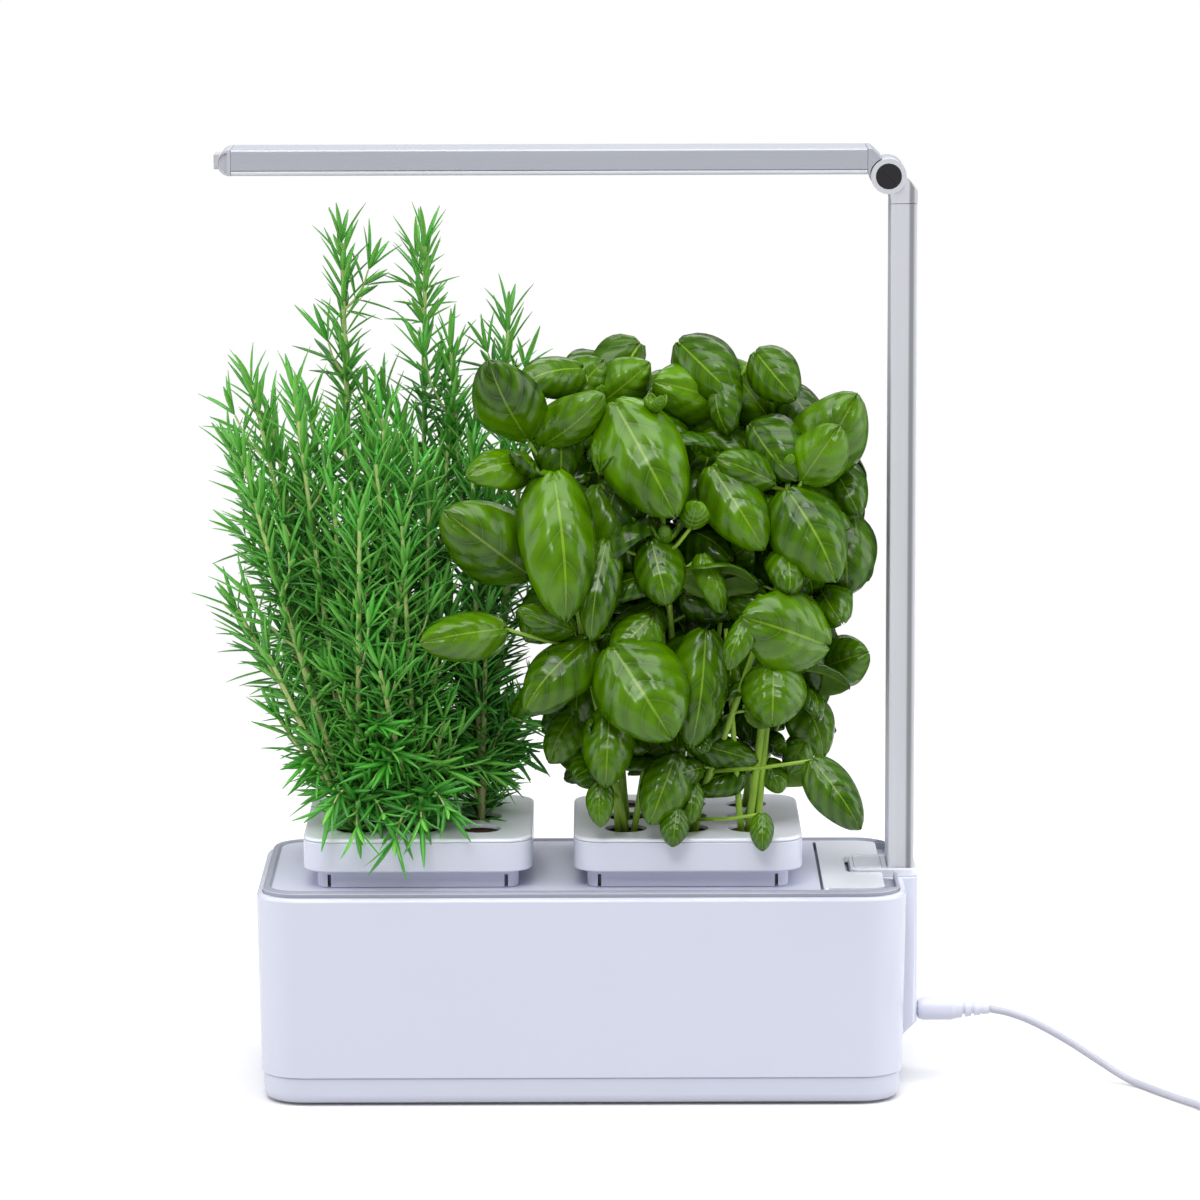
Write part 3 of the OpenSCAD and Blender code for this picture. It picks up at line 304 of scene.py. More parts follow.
def basil_leaf(name, young, deep, glow, gloss):
    """Basil leaf by its own UV map: u runs across the blade, v from its stalk to its tip."""
    made = Finish(name)
    made.set("Specular IOR Level", 0.38)
    blade = made.node("ShaderNodeUVMap", {"uv_map": "blade"})
    across, along = made.node("ShaderNodeSeparateXYZ", values={0: blade}, out=("X", "Y"))
    side = abs(across - 0.5) * 2
    run = (along - side * VEIN_SWEEP - side * side * VEIN_CURVE) * VEINS
    near = (abs(run.fraction() - 0.5) * 2) ** 1.6
    vein = (near > 0.9) * (side < 0.9) * (1 - side * 0.8)
    midrib = (side < 0.035) * 1.0
    wander = made.grain(made.place(), 30, 3) * 2.4 - 0.7
    # the tone mark leans a leaf to the deep colour: painted shade on the leaves inside the bush
    flesh = made.blend(made.mark("tone"), made.blend(wander, young, deep), deep)
    flesh = made.blend((1 - near) * 0.25, flesh, young)
    flesh = made.blend(vein * 0.16, flesh, glow)
    made.set("Base Color", made.blend(midrib * 0.4, flesh, glow))
    blister = made.grain(made.place(), 260)
    made.set("Roughness", gloss + (blister - 0.5) * 0.12 + vein * 0.05)
    made.relief(near * -0.4 + blister * 0.1 - midrib * 0.9, 0.0005, 0.7)
    return made.material


def rosemary_needle():
    """Dark glossy upper face, paler and brighter towards the tip, over a pale dull underside."""
    made = Finish("rosemary_needle")
    top = made.mark("upper")
    green = made.blend(made.mark("tone"), shade(4, 84, 20), shade(84, 196, 56))
    green = made.blend(made.mark("toward_tip") * 0.3, green, shade(120, 200, 88))
    made.set("Base Color", made.blend(top, shade(124, 206, 84), green))
    made.set("Roughness", 0.6 - top * 0.28)
    made.relief(made.grain(made.place(), 1400), 0.0001, 0.5)
    return made.material


def rosemary_wood():
    """Pale bark at the foot of a sprig, green above."""
    made = Finish("rosemary_wood", roughness=0.75)
    bark = made.grain(made.place((1, 1, 0.2)), 520, 4, 0.7)
    green = made.blend((made.along("Z") - 0.13) * 12, shade(218, 214, 150), shade(204, 230, 142))
    made.set("Base Color", made.blend(bark * 0.25, green, shade(150, 156, 88)))
    made.relief(bark, 0.0005)
    return made.material


FINISHES = {
    "white_gloss": moulded("white_gloss", shade(240, 242, 253), 0.24, coat=0.25, speck=0.004),
    "white_satin": moulded("white_satin", shade(208, 210, 226), 0.46, speck=0.006, texture=0.000003),
    # the deck's raised edge is darker: painted shade on its slope
    "grey_deck": moulded(
        "grey_deck", shade(208, 211, 229), 0.42, speck=0.01, texture=0.000005, painted_edge_shade=shade(158, 161, 176)
    ),
    "tank_plastic": moulded("tank_plastic", shade(214, 216, 222), 0.4),
    "black_plastic": moulded("black_plastic", shade(28, 26, 30), 0.36),
    "wire_jacket": moulded("wire_jacket", shade(44, 44, 48), 0.5, texture=0.00003),
    "foot_rubber": grained(
        "foot_rubber", shade(72, 72, 76), shade(56, 56, 60), roughness=0.75, scale=700, depth=0.00005
    ),
    "steel": lined_metal("turned_steel", shade(168, 170, 176), (1, 1, 26), 120, 0.26, 0.14),
    # the post's band at X 144.3 mm is a painted dark reflection of the plants in the slope of its channel
    "anodised_aluminium": brushed("drawn_post", shade(226, 228, 234), 0.4, (14, 14, 0.12), 0.3, (144.3, 1.5)),
    "circuit_board": circuit_board("circuit_board", shade(36, 92, 60)),
    "lamp_board": circuit_board("lamp_board", shade(228, 230, 232)),
    "led_phosphor": grained(
        "lamp_phosphor", shade(240, 230, 160), shade(226, 208, 120),
        roughness=0.35, scale=700, depth=0, detail=2,
    ),
    "diffuser": grained(
        "frosted_diffuser", shade(216, 218, 223), shade(204, 206, 212),
        roughness=0.5, scale=40, depth=0.00002, stretch=(1, 30, 30), detail=2,
    ),
    "growing_medium": pressed_medium(),
    "wick": grained(
        "wick_felt", shade(224, 219, 206), shade(182, 174, 158),
        roughness=0.95, scale=500, depth=0.0002, stretch=(1, 1, 8), detail=4, fine=0.7,
    ),
    "blade_brass": lined_metal("plated_brass", shade(206, 184, 120), (1, 40, 1), 90, 0.24, 0.16),
    "cord_jacket": grained(
        "cord_jacket", shade(202, 202, 214), shade(192, 192, 204), roughness=0.42, scale=500, depth=0.00003
    ),
    "rosemary_green": rosemary_needle(),
    # its deep second colour serves for random dark patches, and for painted shade on the inner leaves
    "basil_green": basil_leaf("basil_leaf", shade(112, 168, 0), shade(14, 52, 0), shade(164, 204, 60), 0.2),
}
SHELL_WHITE = moulded("shell_white", shade(220, 223, 239), 0.26, coat=0.2, speck=0.004)
# a brighter copy of the white plastic on the filler lid: painted light against the shade that the post and
# the basil cast on it
LID_PAINTED_LIGHT_WHITE = moulded("lid_white", shade(243, 246, 255), 0.26, coat=0.2, speck=0.003)
PLUG_WHITE = moulded("plug_white", shade(224, 226, 240), 0.3, coat=0.15, speck=0.004)
END_CAP = moulded("end_cap_grey", shade(190, 191, 198), 0.5, speck=0.01)
DRAWN_BAR = brushed("drawn_bar", shade(188, 191, 200), 0.42, (0.12, 14, 14), 0.25)
LEAF_BACK = basil_leaf("basil_leaf_back", shade(122, 158, 48), shade(82, 122, 28), shade(166, 196, 100), 0.55)
BASIL_STALK = grained(
    "basil_stalk", shade(160, 198, 66), shade(124, 168, 42),
    roughness=0.45, scale=420, depth=0.0002, stretch=(1, 1, 0.18),
)
WOOD = rosemary_wood()


# ---- making and keeping objects ----


def new_object(name, data):
    """New object at the origin."""
    made = bpy.data.objects.new(name, data)
    bpy.context.collection.objects.link(made)
    return made


def mesh_of(name, points, edges, faces):
    mesh = bpy.data.meshes.new(name)
    mesh.from_pydata(points, edges, faces)
    return mesh


def bake(made):
    """Keeps what the modifiers make as the object's plain mesh."""
    solid = bpy.data.meshes.new_from_object(made.evaluated_get(bpy.context.evaluated_depsgraph_get()))
    made.modifiers.clear()
    made.data = solid
    solid.name = made.name


def mount(made, body, slot, *nodes):
    """Puts a piece on its body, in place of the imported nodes."""
    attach(made, body)
    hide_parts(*nodes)


# ---- cord ----

CORD_DIA = 3.3
CORD_START = (180.9, -10, 31.8)
CORD_RUN = [
    (183, -10, 31.2), (188, -10, 30.2), (193, -10, 28.6), (199, -10, 26.2), (205, -11, 23.4),
    (211, -12, 20.2), (217, -13, 16.8), (223, -15, 13.2), (229, -17, 9.6), (234, -19, 6.6),
    (239, -22, 4), (243, -25, 2.4), (247, -30, 1.8), (251, -37, 1.7), (256, -46, 1.7),
    (262, -56, 1.7), (268, -66, 1.9), (272, -75, 2.1), (274.4, -81, 2.3), (274.8, -85, 2.4),
]
# the last points run on through the adapter's strain relief into its housing
CORD_TAIL = [
    (319.2, -85, 12.2), (319, -83, 12.2), (318.4, -81, 12.1),
    (318, -79.5, 12), (318, -70, 12), (318, -60, 12),
]

COIL_PLACE = Vector((297, -97, 2.35))
COIL_RADIUS = 19
COIL_ROWS = 3
COIL_LAYERS = 4
# degrees between which a turn steps over from the one before, and how far it swings aside to climb a layer
STEP_FROM, STEP_TO = 110, 150
STEP_SWING = 1.25


def coil_turns():
    """Points of a round coil, wound in and out by rows, from half way round its first turn."""
    places = []
    for layer in range(COIL_LAYERS):
        radii = [COIL_RADIUS + CORD_DIA * ((COIL_ROWS - 1) / 2 - row) for row in range(COIL_ROWS)]
        places += [(radius, layer * CORD_DIA) for radius in (radii[::-1] if layer % 2 else radii)]
    points = []
    for turn, (radius, lift) in enumerate(places):
        radius_before, lift_before = places[max(turn - 1, 0)]
        first = 0 if turn else 180
        last = 340 if turn < len(places) - 1 else 360
        for angle in range(first, last + 1, 20):
            share = min(max((angle - STEP_FROM) / (STEP_TO - STEP_FROM), 0), 1)
            share = share * share * (3 - 2 * share)
            out = radius_before + (radius - radius_before) * share
            if radius == radius_before:
                out += math.copysign(STEP_SWING, radius - COIL_RADIUS) * math.sin(math.pi * share)
            rise = lift_before + (lift - lift_before) * share
            heading = math.radians(angle)
            points.append(COIL_PLACE + Vector((out * math.cos(heading), out * math.sin(heading), rise)))
    return points


def cord_curve(name, points, diameter):
    data = bpy.data.curves.new(name, "CURVE")
    data.dimensions = "3D"
    data.bevel_depth = diameter / 2 * MM
    data.bevel_resolution = 3
    data.resolution_u = 4
    data.use_fill_caps = True
    spline = data.splines.new("BEZIER")
    spline.bezier_points.add(len(points) - 1)
    for knot, at in zip(spline.bezier_points, points):
        knot.co = Vector(at) * MM
        knot.handle_left_type = knot.handle_right_type = "AUTO"
    data.materials.append(FINISHES["cord_jacket"])
    return new_object(name, data)


power_cord = cord_curve("power_cord", [CORD_START, *CORD_RUN, *coil_turns(), *CORD_TAIL], CORD_DIA)
mount(power_cord, "base", "cord_jacket", "cord", "cord_coil", "cord_tail")


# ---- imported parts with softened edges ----


def merge_seams(mesh):
    """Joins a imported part's loose triangles and melts its flat faces into one."""
    form = bmesh.new()
    form.from_mesh(mesh)
    bmesh.ops.remove_doubles(form, verts=form.verts, dist=0.000004)
    bmesh.ops.dissolve_limit(
        form, angle_limit=math.radians(0.6), verts=form.verts, edges=form.edges, use_dissolve_boundaries=False
    )
    for face in form.faces:
        face.smooth = True
        face.material_index = 0
    form.to_mesh(mesh)
    form.free()


def dressed(node, body, slot, edge, finish=None):
    """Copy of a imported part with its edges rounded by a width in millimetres, in its own finish."""
    mesh = frame["nodes"][node].data.copy()
    mesh.materials.clear()
    mesh.materials.append(finish or FINISHES[slot])
    merge_seams(mesh)
    made = new_object(node + "_finished", mesh)
    soften = made.modifiers.new("edges", "BEVEL")
    soften.width = edge * MM
    soften.segments = 2
    soften.limit_method = "ANGLE"
    soften.angle_limit = math.radians(32)
    soften.use_clamp_overlap = True
    soften.miter_outer = "MITER_ARC"
    bake(made)
    made.data.set_sharp_from_angle(angle=math.radians(40))
    level = made.modifiers.new("flat_faces", "WEIGHTED_NORMAL")
    level.keep_sharp = True
    bake(made)
    mount(made, body, slot, node)
    return made


# node, body, slot and the width of its rounded edges
POLISHED = [
    ("outer_shell", "base", "white_gloss", 0.5), ("base_pan", "base", "white_gloss", 0.3),
    ("rubber_feet", "base", "foot_rubber", 0.4), ("deck", "base", "grey_deck", 0.3),
    ("foot_block", "base", "white_gloss", 0.5), ("post_strip", "base", "white_satin", 0.15),
    ("filler_lid", "lid", "white_gloss", 0.6), ("power_key", "key", "white_gloss", 0.5),
    ("left_basket", "left_planter", "white_satin", 0.35), ("left_box", "left_planter", "white_gloss", 0.35),
    ("left_cap", "left_planter", "white_gloss", 0.4), ("right_basket", "right_planter", "white_satin", 0.35),
    ("right_box", "right_planter", "white_gloss", 0.35), ("right_cap", "right_planter", "white_gloss", 0.4),
    ("hinge_cap_front", "base", "black_plastic", 0.3), ("hinge_cap_rear", "base", "black_plastic", 0.3),
    ("lamp_end_cap", "lamp", "white_satin", 0.4), ("dc_plug", "base", "white_gloss", 0.3),
    ("wall_adapter", "base", "white_gloss", 1.2), ("coil_tie", "base", "black_plastic", 0.15),
    ("adapter_blades", "base", "blade_brass", 0.2), ("plug_barrel", "base", "steel", 0.15),
    ("lamp_post", "base", "anodised_aluminium", 0.25), ("post_knuckle", "base", "anodised_aluminium", 0.25),
    ("lamp_bar", "lamp", "anodised_aluminium", 0.25), ("lamp_knuckle", "lamp", "anodised_aluminium", 0.25),
]
# parts whose finish differs from their slot's
OWN_FINISH = {
    "outer_shell": SHELL_WHITE, "base_pan": SHELL_WHITE, "left_box": SHELL_WHITE, "right_box": SHELL_WHITE,
    "filler_lid": LID_PAINTED_LIGHT_WHITE, "lamp_end_cap": END_CAP, "lamp_bar": DRAWN_BAR, "lamp_knuckle": DRAWN_BAR,
    "dc_plug": PLUG_WHITE, "wall_adapter": FINISHES["white_satin"],
}
dressed_parts = {row[0]: dressed(*row, finish=OWN_FINISH.get(row[0])) for row in POLISHED}

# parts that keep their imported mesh, mostly inside
PLAIN = {
    "pan_screws": "steel", "water_tank": "tank_plastic", "key_board": "circuit_board",
    "board_screws": "steel", "control_board": "circuit_board", "dc_socket": "black_plastic",
    "post_screws": "steel", "post_lead": "wire_jacket", "hinge_pin": "steel",
    "friction_washers": "black_plastic", "led_board": "lamp_board", "led_chips": "led_phosphor",
    "lamp_lead": "wire_jacket", "diffuser": "diffuser", "left_medium": "growing_medium",
    "right_medium": "growing_medium", "left_wicks": "wick", "right_wicks": "wick",
}
for node, slot in PLAIN.items():
    kept = frame["nodes"][node]
    kept.data.materials.clear()
    kept.data.materials.append(FINISHES[slot])


# ---- plants ----

HOLE_PITCH = 27
STEM_Z = 115.4
LEFT_PLANTER = Vector((-71.4, 0, STEM_Z))
RIGHT_PLANTER = Vector((46.6, 0, STEM_Z))


# a sprig or stem: its planting hole by column and row, then where its tip is over the cap
Sprig = namedtuple("Sprig", "column row x y height")


def bend(a, b, c, t):
    """Point of an arc from a to c that leans towards b."""
    return a * (1 - t) ** 2 + b * (2 * t * (1 - t)) + c * t * t


def sprig_at(sprig, t):
    """Point of a sprig's arc, from its foot at 0 to its tip at 1."""
    foot = Vector((sprig.column, sprig.row, 0)) * HOLE_PITCH
    tip = Vector((sprig.x, sprig.y, sprig.height))
    knee = Vector((foot.x + 0.55 * (tip.x - foot.x), foot.y + 0.55 * (tip.y - foot.y), tip.z / 2))
    return bend(foot, knee, tip, t)


# ---- basil ----

BASIL_STEMS = [Sprig(*place) for place in (
    (-1, -1, -62, -28, 170), (-1, 0, -40, -8, 186), (0, -1, -14, -36, 186), (0, 1, 14, -2, 184),
    (1, -1, 44, -32, 160), (1, 1, 44, -6, 172), (1, 0, 62, -14, 132), (-1, -1, -50, -42, 112),
    (0, 0, -10, -44, 130), (0, -1, 34, -42, 100),
)]
# thinner stems beside them, with no leaves low down
BARE_STEMS = [Sprig(*place) for place in (
    (-1, -1, -32, -30, 92), (-1, -1, -12, -24, 100), (0, -1, -8, -34, 96), (0, -1, 12, -26, 104),
    (1, -1, 20, -34, 92), (1, -1, 36, -24, 100), (0, 0, 6, -8, 110), (1, 0, 34, 2, 108),
)]
# leaves: stem, base x, y, height, tip x, y, height, width, turn of the face from the front
BASIL_LEAVES = [
    (0, -69, -30, 174, -86, -46, 212, 27, -15), (0, -64, -30, 171, -36, -40, 196, 20, 30),
    (0, -67, -32, 165, -96, -50, 161, 18, -30), (0, -58, -44, 163, -53, -62, 99, 30, 10),
    (7, -68, -40, 116, -106, -56, 148, 30, -10), (1, -54, -12, 188, -36, -4, 206, 22, 10),
    (1, -38, -8, 187, -16, -4, 205, 20, 20), (2, -32, -34, 192, -5, -54, 143, 33, 0),
    (2, -33, -30, 190, -38, -40, 160, 12, -40), (8, -38, -26, 155, -21, -34, 116, 25, 25),
    (8, -35, -44, 133, -42, -56, 90, 16, -10), (3, 19, -4, 187, -15, -14, 198, 25, 0),
    (5, 39, -2, 176, 15, -6, 207, 20, 0), (4, 49, -20, 154, 74, -24, 194, 30, 15),
    (4, 49, -34, 156, 66, -40, 182, 21, 0), (4, 43, -38, 154, 64, -48, 114, 30, 15),
    (6, 68, -4, 134, 79, -8, 108, 24, 30), (4, 10, -36, 164, 33, -46, 128, 24, 0),
    (5, 38, -34, 156, 12, -40, 168, 15, 0), (8, 1, -48, 138, 4, -54, 151, 12, 0),
    (8, -16, -44, 133, -9, -54, 105, 20, 0), (8, 6, -40, 126, 15, -46, 100, 12, 30),
    (3, 6, -2, 166, 5, 0, 184, 15, 0), (5, 23, -2, 164, 23, 2, 180, 15, 0),
    (9, 61, -46, 86, 22, -62, 102, 32, 0), (9, 37, -52, 80, 36, -60, 53, 25, 0),
    (9, 26, -60, 102, 17, -66, 79, 11, -20), (6, 60, -8, 70, 80, -14, 78, 20, 0),
    (6, 50, -14, 60, 60, -20, 32, 20, 20), (9, 53, -64, 40, 74, -72, 10, 18, 10),
    (8, 8, -42, 93, 1, -52, 42, 23, 10), (7, -16, -46, 99, -33, -50, 79, 20, -20),
    (8, -33, -54, 88, -7, -70, 49, 36, 0), (7, -34, -50, 60, -36, -58, 26, 20, 0),
    (7, -43, -46, 90, -71, -58, 60, 24, -25), (7, -78, -56, 96, -116, -70, 92, 19, -10),
    (7, -49, -44, 92, -74, -54, 104, 13, -20), (7, -49, -30, 55, -60, -34, 32, 18, -30),
    (7, -38, -50, 28, -38, -55, 8, 11, -15), (8, -5, -48, 39, -17, -56, 9, 19, 0),
    (8, -5, -54, 16, -7, -59, 0, 11, 0), (9, 32, -54, 14, 32, -59, -2, 9, 0),
    (8, 2, -42, 26, 1, -48, 8, 9, 0), (9, 1, -36, 42, 31, -30, 32, 13, 0),
    (6, 53, -20, 43, 44, -26, 26, 12, 0), (9, 35, -24, 32, 41, -30, 18, 11, 0),
    (1, -30, 16, 150, -4, 30, 172, 24, 180), (3, 26, 22, 150, 52, 34, 166, 26, 180),
    (5, 56, 12, 118, 76, 30, 130, 24, 170), (3, 6, 24, 110, 0, 40, 78, 24, 180),
    (3, 30, 26, 100, 44, 40, 66, 26, 180), (5, 52, 14, 82, 72, 26, 58, 22, 160),
]
# outline of the bush: height over the cap, then its left and right edge
BUSH = [
    (24, -36, 28), (42, -52, 44), (60, -70, 56), (82, -82, 64), (95, -88, 56), (122, -92, 72),
    (149, -92, 74), (171, -84, 66), (193, -78, 60), (204, -70, 36),
]
# layers that fill the bush: nearest and farthest y, turn of the faces from the front, columns
BUSH_LAYERS = [(-30, 8, 0, range(-92, 80, 16)), (16, 40, 180, range(-34, 76, 17))]
BUSH_TOP = 210
# the rosemary begins past this slanting line, by x less y
BASIL_CLEAR = -52
# rows and columns of faces in a front leaf, an inner leaf and a bud's leaf
FRONT_GRID, INNER_GRID, BUD_GRID = (22, 12), (14, 8), (8, 6)


class Growth:
    """Collects the points, faces and marks of one basil piece, in millimetres from its planter."""

    def __init__(self):
        self.points = []
        self.faces = []
        self.blade = []
        self.tones = []

    def add(self, points, faces, blade=None, tone=0.5):
        first = len(self.points)
        self.points += points
        self.faces += [tuple(first + i for i in face) for face in faces]
        self.blade += blade or [(0.5, 0.5)] * len(points)
        self.tones += [tone] * len(points)

    def stalk(self, line, radii, sides):
        """Closed tube through the points of a line."""
        points, faces = [], []
        last = len(line) - 1
        for i, (at, radius) in enumerate(zip(line, radii)):
            heading = (line[min(i + 1, last)] - line[max(i - 1, 0)]).normalized()
            side = heading.cross(Vector((0.3, 1, 0.1))).normalized()
            up = heading.cross(side)
            for k in range(sides):
                turn = math.tau * k / sides
                points.append(at + radius * (math.cos(turn) * side + math.sin(turn) * up))
        for i in range(last):
            for k in range(sides):
                after = (k + 1) % sides
                faces.append((i * sides + k, i * sides + after, (i + 1) * sides + after, (i + 1) * sides + k))
        faces.append(tuple(range(sides - 1, -1, -1)))
        faces.append(tuple(last * sides + k for k in range(sides)))
        self.add(points, faces)

    def piece(self, name, *finishes):
        """The object, with its blade map and its tones."""
        mesh = mesh_of(name, [(RIGHT_PLANTER + p) * MM for p in self.points], [], self.faces)
        for finish in finishes:
            mesh.materials.append(finish)
        layer = mesh.uv_layers.new(name="blade")
        for loop in mesh.loops:
            layer.data[loop.index].uv = self.blade[loop.vertex_index]
        marks = mesh.attributes.new("tone", "FLOAT", "POINT")
        marks.data.foreach_set("value", self.tones)
        mesh.shade_smooth()
        mesh.update()
        return new_object(name, mesh)


def blade(growth, foot, tip, width, turn, chance, tone, grid, arch=0.58):
    """One basil leaf: arched along its midrib, domed between the side veins, edges turned down."""
    along = tip - foot
    length = along.length
    facing = Vector((math.sin(math.radians(turn)), -math.cos(math.radians(turn)), 0.25))
    across = along.cross(facing).normalized()
    face = across.cross(along).normalized()
    skew = chance.uniform(-0.06, 0.06)
    wave = chance.uniform(0, math.tau)
    curl = chance.uniform(0.5, 0.8)
    rows, columns = grid
    points, faces, marks = [], [], []
    for i in range(rows + 1):
        t = 0.01 + 0.985 * (i / rows)
        half = width / 2 * math.sin(math.pi * t**0.84) ** 0.52 * (1 - 0.08 * t**6)
        middle = foot + along * t + face * (arch * t * (1 - t) * (0.7 + 0.75 * t) * length)
        for k in range(columns + 1):
            # the columns stand closer at the midrib
            s = k / columns * 2 - 1
            s = math.copysign(abs(s) ** 0.85, s)
            out = abs(s)
            ribs = (t - VEIN_SWEEP * out - VEIN_CURVE * out * out) * VEINS
            near = abs(ribs % 1 - 0.5) * 2
            swell = 0.07 * width * (1 - near * near) * out * (1 - out) * 2.4
            groove = -0.07 * width * math.exp(-((s / 0.13) ** 2))
            ripple = 0.035 * width * out**3 * math.sin(9 * t + wave + (1.3 if s > 0 else 0))
            lift = -curl * half * out * out + swell + groove + 0.03 * width * (1 - out) + ripple
            sweep = along * (-0.02 * out * out)
            points.append(middle + across * (s * half * (1 + skew * s)) + face * lift + sweep)
            marks.append((s / 2 + 0.5, t))
    step = columns + 1
    for i in range(rows):
        for k in range(columns):
            a = i * step + k
            faces.append((a, a + 1, a + step + 1, a + step))
    growth.add(points, faces, marks, tone)


def thicken(made, depth):
    """Gives the leaf sheets their two faces, the lower one in the second finish."""
    wall = made.modifiers.new("wall", "SOLIDIFY")
    wall.thickness = depth * MM
    wall.offset = 0
    wall.material_offset = 1
    bake(made)


def turn_of(out):
    """Degrees that a heading is turned from the front."""
    return math.degrees(math.atan2(out.x, -out.y))


def in_bush(x, z):
    for (low, l0, r0), (high, l1, r1) in zip(BUSH, BUSH[1:]):
        if low <= z <= high:
            part = (z - low) / (high - low)
            return l0 + (l1 - l0) * part < x < r0 + (r1 - r0) * part
    return False


def over_planter(tip):
    """True where a leaf's tip stays over its own planter."""
    return -104 < tip.x < 74 and -58 < tip.y < 42 and 8 < tip.z < 196


def grow_stems(stalks):
    for stem in BASIL_STEMS:
        line = [sprig_at(stem, t / 12) for t in range(13)]
        stalks.stalk(line, [2.0 - 0.9 * t / 12 for t in range(13)], 8)
    for number, stem in enumerate(BARE_STEMS):
        beside = Vector((3.4 if number % 2 else -3.4, -1.6, 0))
        line = [sprig_at(stem, t / 8) + beside for t in range(9)]
        stalks.stalk(line, [1.5 - 0.5 * t / 8 for t in range(9)], 6)


def grow_front(leaves, stalks, chance):
    """The leaves that are seen best, one by one; the high ones are paler, as younger leaves and as painted
    light on the bush's top.
    """
    for number, *ends, width, turn in BASIL_LEAVES:
        stem = BASIL_STEMS[number]
        foot, tip = Vector(ends[:3]), Vector(ends[3:])
        root = sprig_at(stem, min(max(foot.z - 12, 6) / stem.height, 0.99))
        sag = root.lerp(foot, 0.5) + Vector((0, 0, -1.2))
        stalks.stalk([root, sag, foot + (tip - foot) * 0.03], [1.0, 0.8, 0.8], 6)
        # paler high up: younger leaves, and painted light on the lit top of the bush
        high = min(max((foot.z + tip.z) / 2 / BUSH_TOP, 0), 1)
        tone = 0.72 - 0.5 * high + chance.uniform(-0.2, 0.2)
        blade(leaves, foot, tip, width * 1.14, turn, chance, tone, FRONT_GRID)


def grow_pairs(stem, inner, stalks, chance):
    """Smaller leaves in pairs along a stem, each pair turned against the one below; gives the last turn."""
    turn = chance.uniform(0, 180)
    height = 30
    while height < stem.height - 6:
        at = sprig_at(stem, height / stem.height)
        for side in (0, 180):
            heading = math.radians(turn + side)
            out = Vector((math.cos(heading), 0.8 * math.sin(heading), chance.uniform(-0.5, 0.5))).normalized()
            size = chance.uniform(17, 25) if height < 55 else chance.uniform(24, 36)
            foot = at + out * 6
            tip = foot + (out + Vector((0, 0, chance.uniform(-0.7, 0.1)))).normalized() * size
            if min(foot.x - foot.y, tip.x - tip.y) < BASIL_CLEAR or not over_planter(tip):
                continue
            stalks.stalk([at, foot + out * 0.5], [0.7, 0.6], 5)
            facing = turn_of(out) + chance.uniform(-50, 50)
            width = size * chance.uniform(0.6, 0.78)
            # inner leaves lean to the deep colour: painted shade inside the bush
            tone = 0.9 + chance.uniform(-0.2, 0.1)
            blade(inner, foot, tip, width, facing, chance, tone, INNER_GRID)
        turn += 90
        height += chance.uniform(17, 25)
    return turn


def grow_bud(stem, turn, leaves, chance):
    """Four tiny leaves on top of a stem."""
    top = sprig_at(stem, 1)
    for k in range(4):
        heading = math.radians(turn + 90 * k)
        out = Vector((math.cos(heading), math.sin(heading), 1.6)).normalized()
        tip = top + out * chance.uniform(9, 13)
        blade(leaves, top + out, tip, 6.5, turn_of(out), chance, 0.1, BUD_GRID, arch=0.6)


def fill_bush(inner, stalks, chance):
    """Layers of leaves behind the front ones and on the back, spread evenly over the bush, darkened as
    painted shade.
    """
    for near, far, turn, columns in BUSH_LAYERS:
        for column in columns:
            for level in range(34, 204, 15):
                x, z = column + chance.uniform(-6, 6), level + chance.uniform(-6, 6)
                y = chance.uniform(near, far)
                if not in_bush(x, z) or x - y < BASIL_CLEAR + 4 or (turn and z > 170):
                    continue
                size = chance.uniform(26, 38) if z > 60 else chance.uniform(16, 24)
                ahead = 0.3 if turn else -0.3
                out = Vector((math.copysign(chance.uniform(0, 1), x + 10), ahead, chance.uniform(-1.3, 0.3)))
                out.normalize()
                foot = Vector((x, y, z)) - out * size / 2
                tip = foot + out * size
                stem = min(BASIL_STEMS, key=lambda s: (sprig_at(s, min(z / s.height, 1)) - foot).length)
                root = sprig_at(stem, min(max(foot.z - 10, 8) / stem.height, 1))
                if (foot - root).length > 55:
                    continue
                sag = root.lerp(foot, 0.6) + Vector((0, 0, -1))
                stalks.stalk([root, sag, foot + out * 0.5], [0.8, 0.7, 0.7], 5)
                width = size * chance.uniform(0.62, 0.8)
                facing = turn + chance.uniform(-45, 45)
                # these leaves lean to the deep colour: painted shade inside the bush
                tone = 0.8 + chance.uniform(-0.25, 0.2)
                blade(inner, foot, tip, width, facing, chance, tone, INNER_GRID)


def grow_basil():
    chance = random.Random(7)
    leaves, inner, stalks = Growth(), Growth(), Growth()
    grow_stems(stalks)
    grow_front(leaves, stalks, chance)
    for stem in BASIL_STEMS:
        turn = grow_pairs(stem, inner, stalks, chance)
        grow_bud(stem, turn, leaves, chance)
    fill_bush(inner, stalks, chance)
    for growth, name in ((leaves, "basil_leaves"), (inner, "basil_inner_leaves")):
        blades = growth.piece(name, FINISHES["basil_green"], LEAF_BACK)
        thicken(blades, 0.5)
        mount(blades, "right_planter", "basil_green", "basil")
    mount(stalks.piece("basil_stalks", BASIL_STALK), "right_planter", "basil_green", "basil")


grow_basil()


# ---- rosemary, by geometry nodes ----

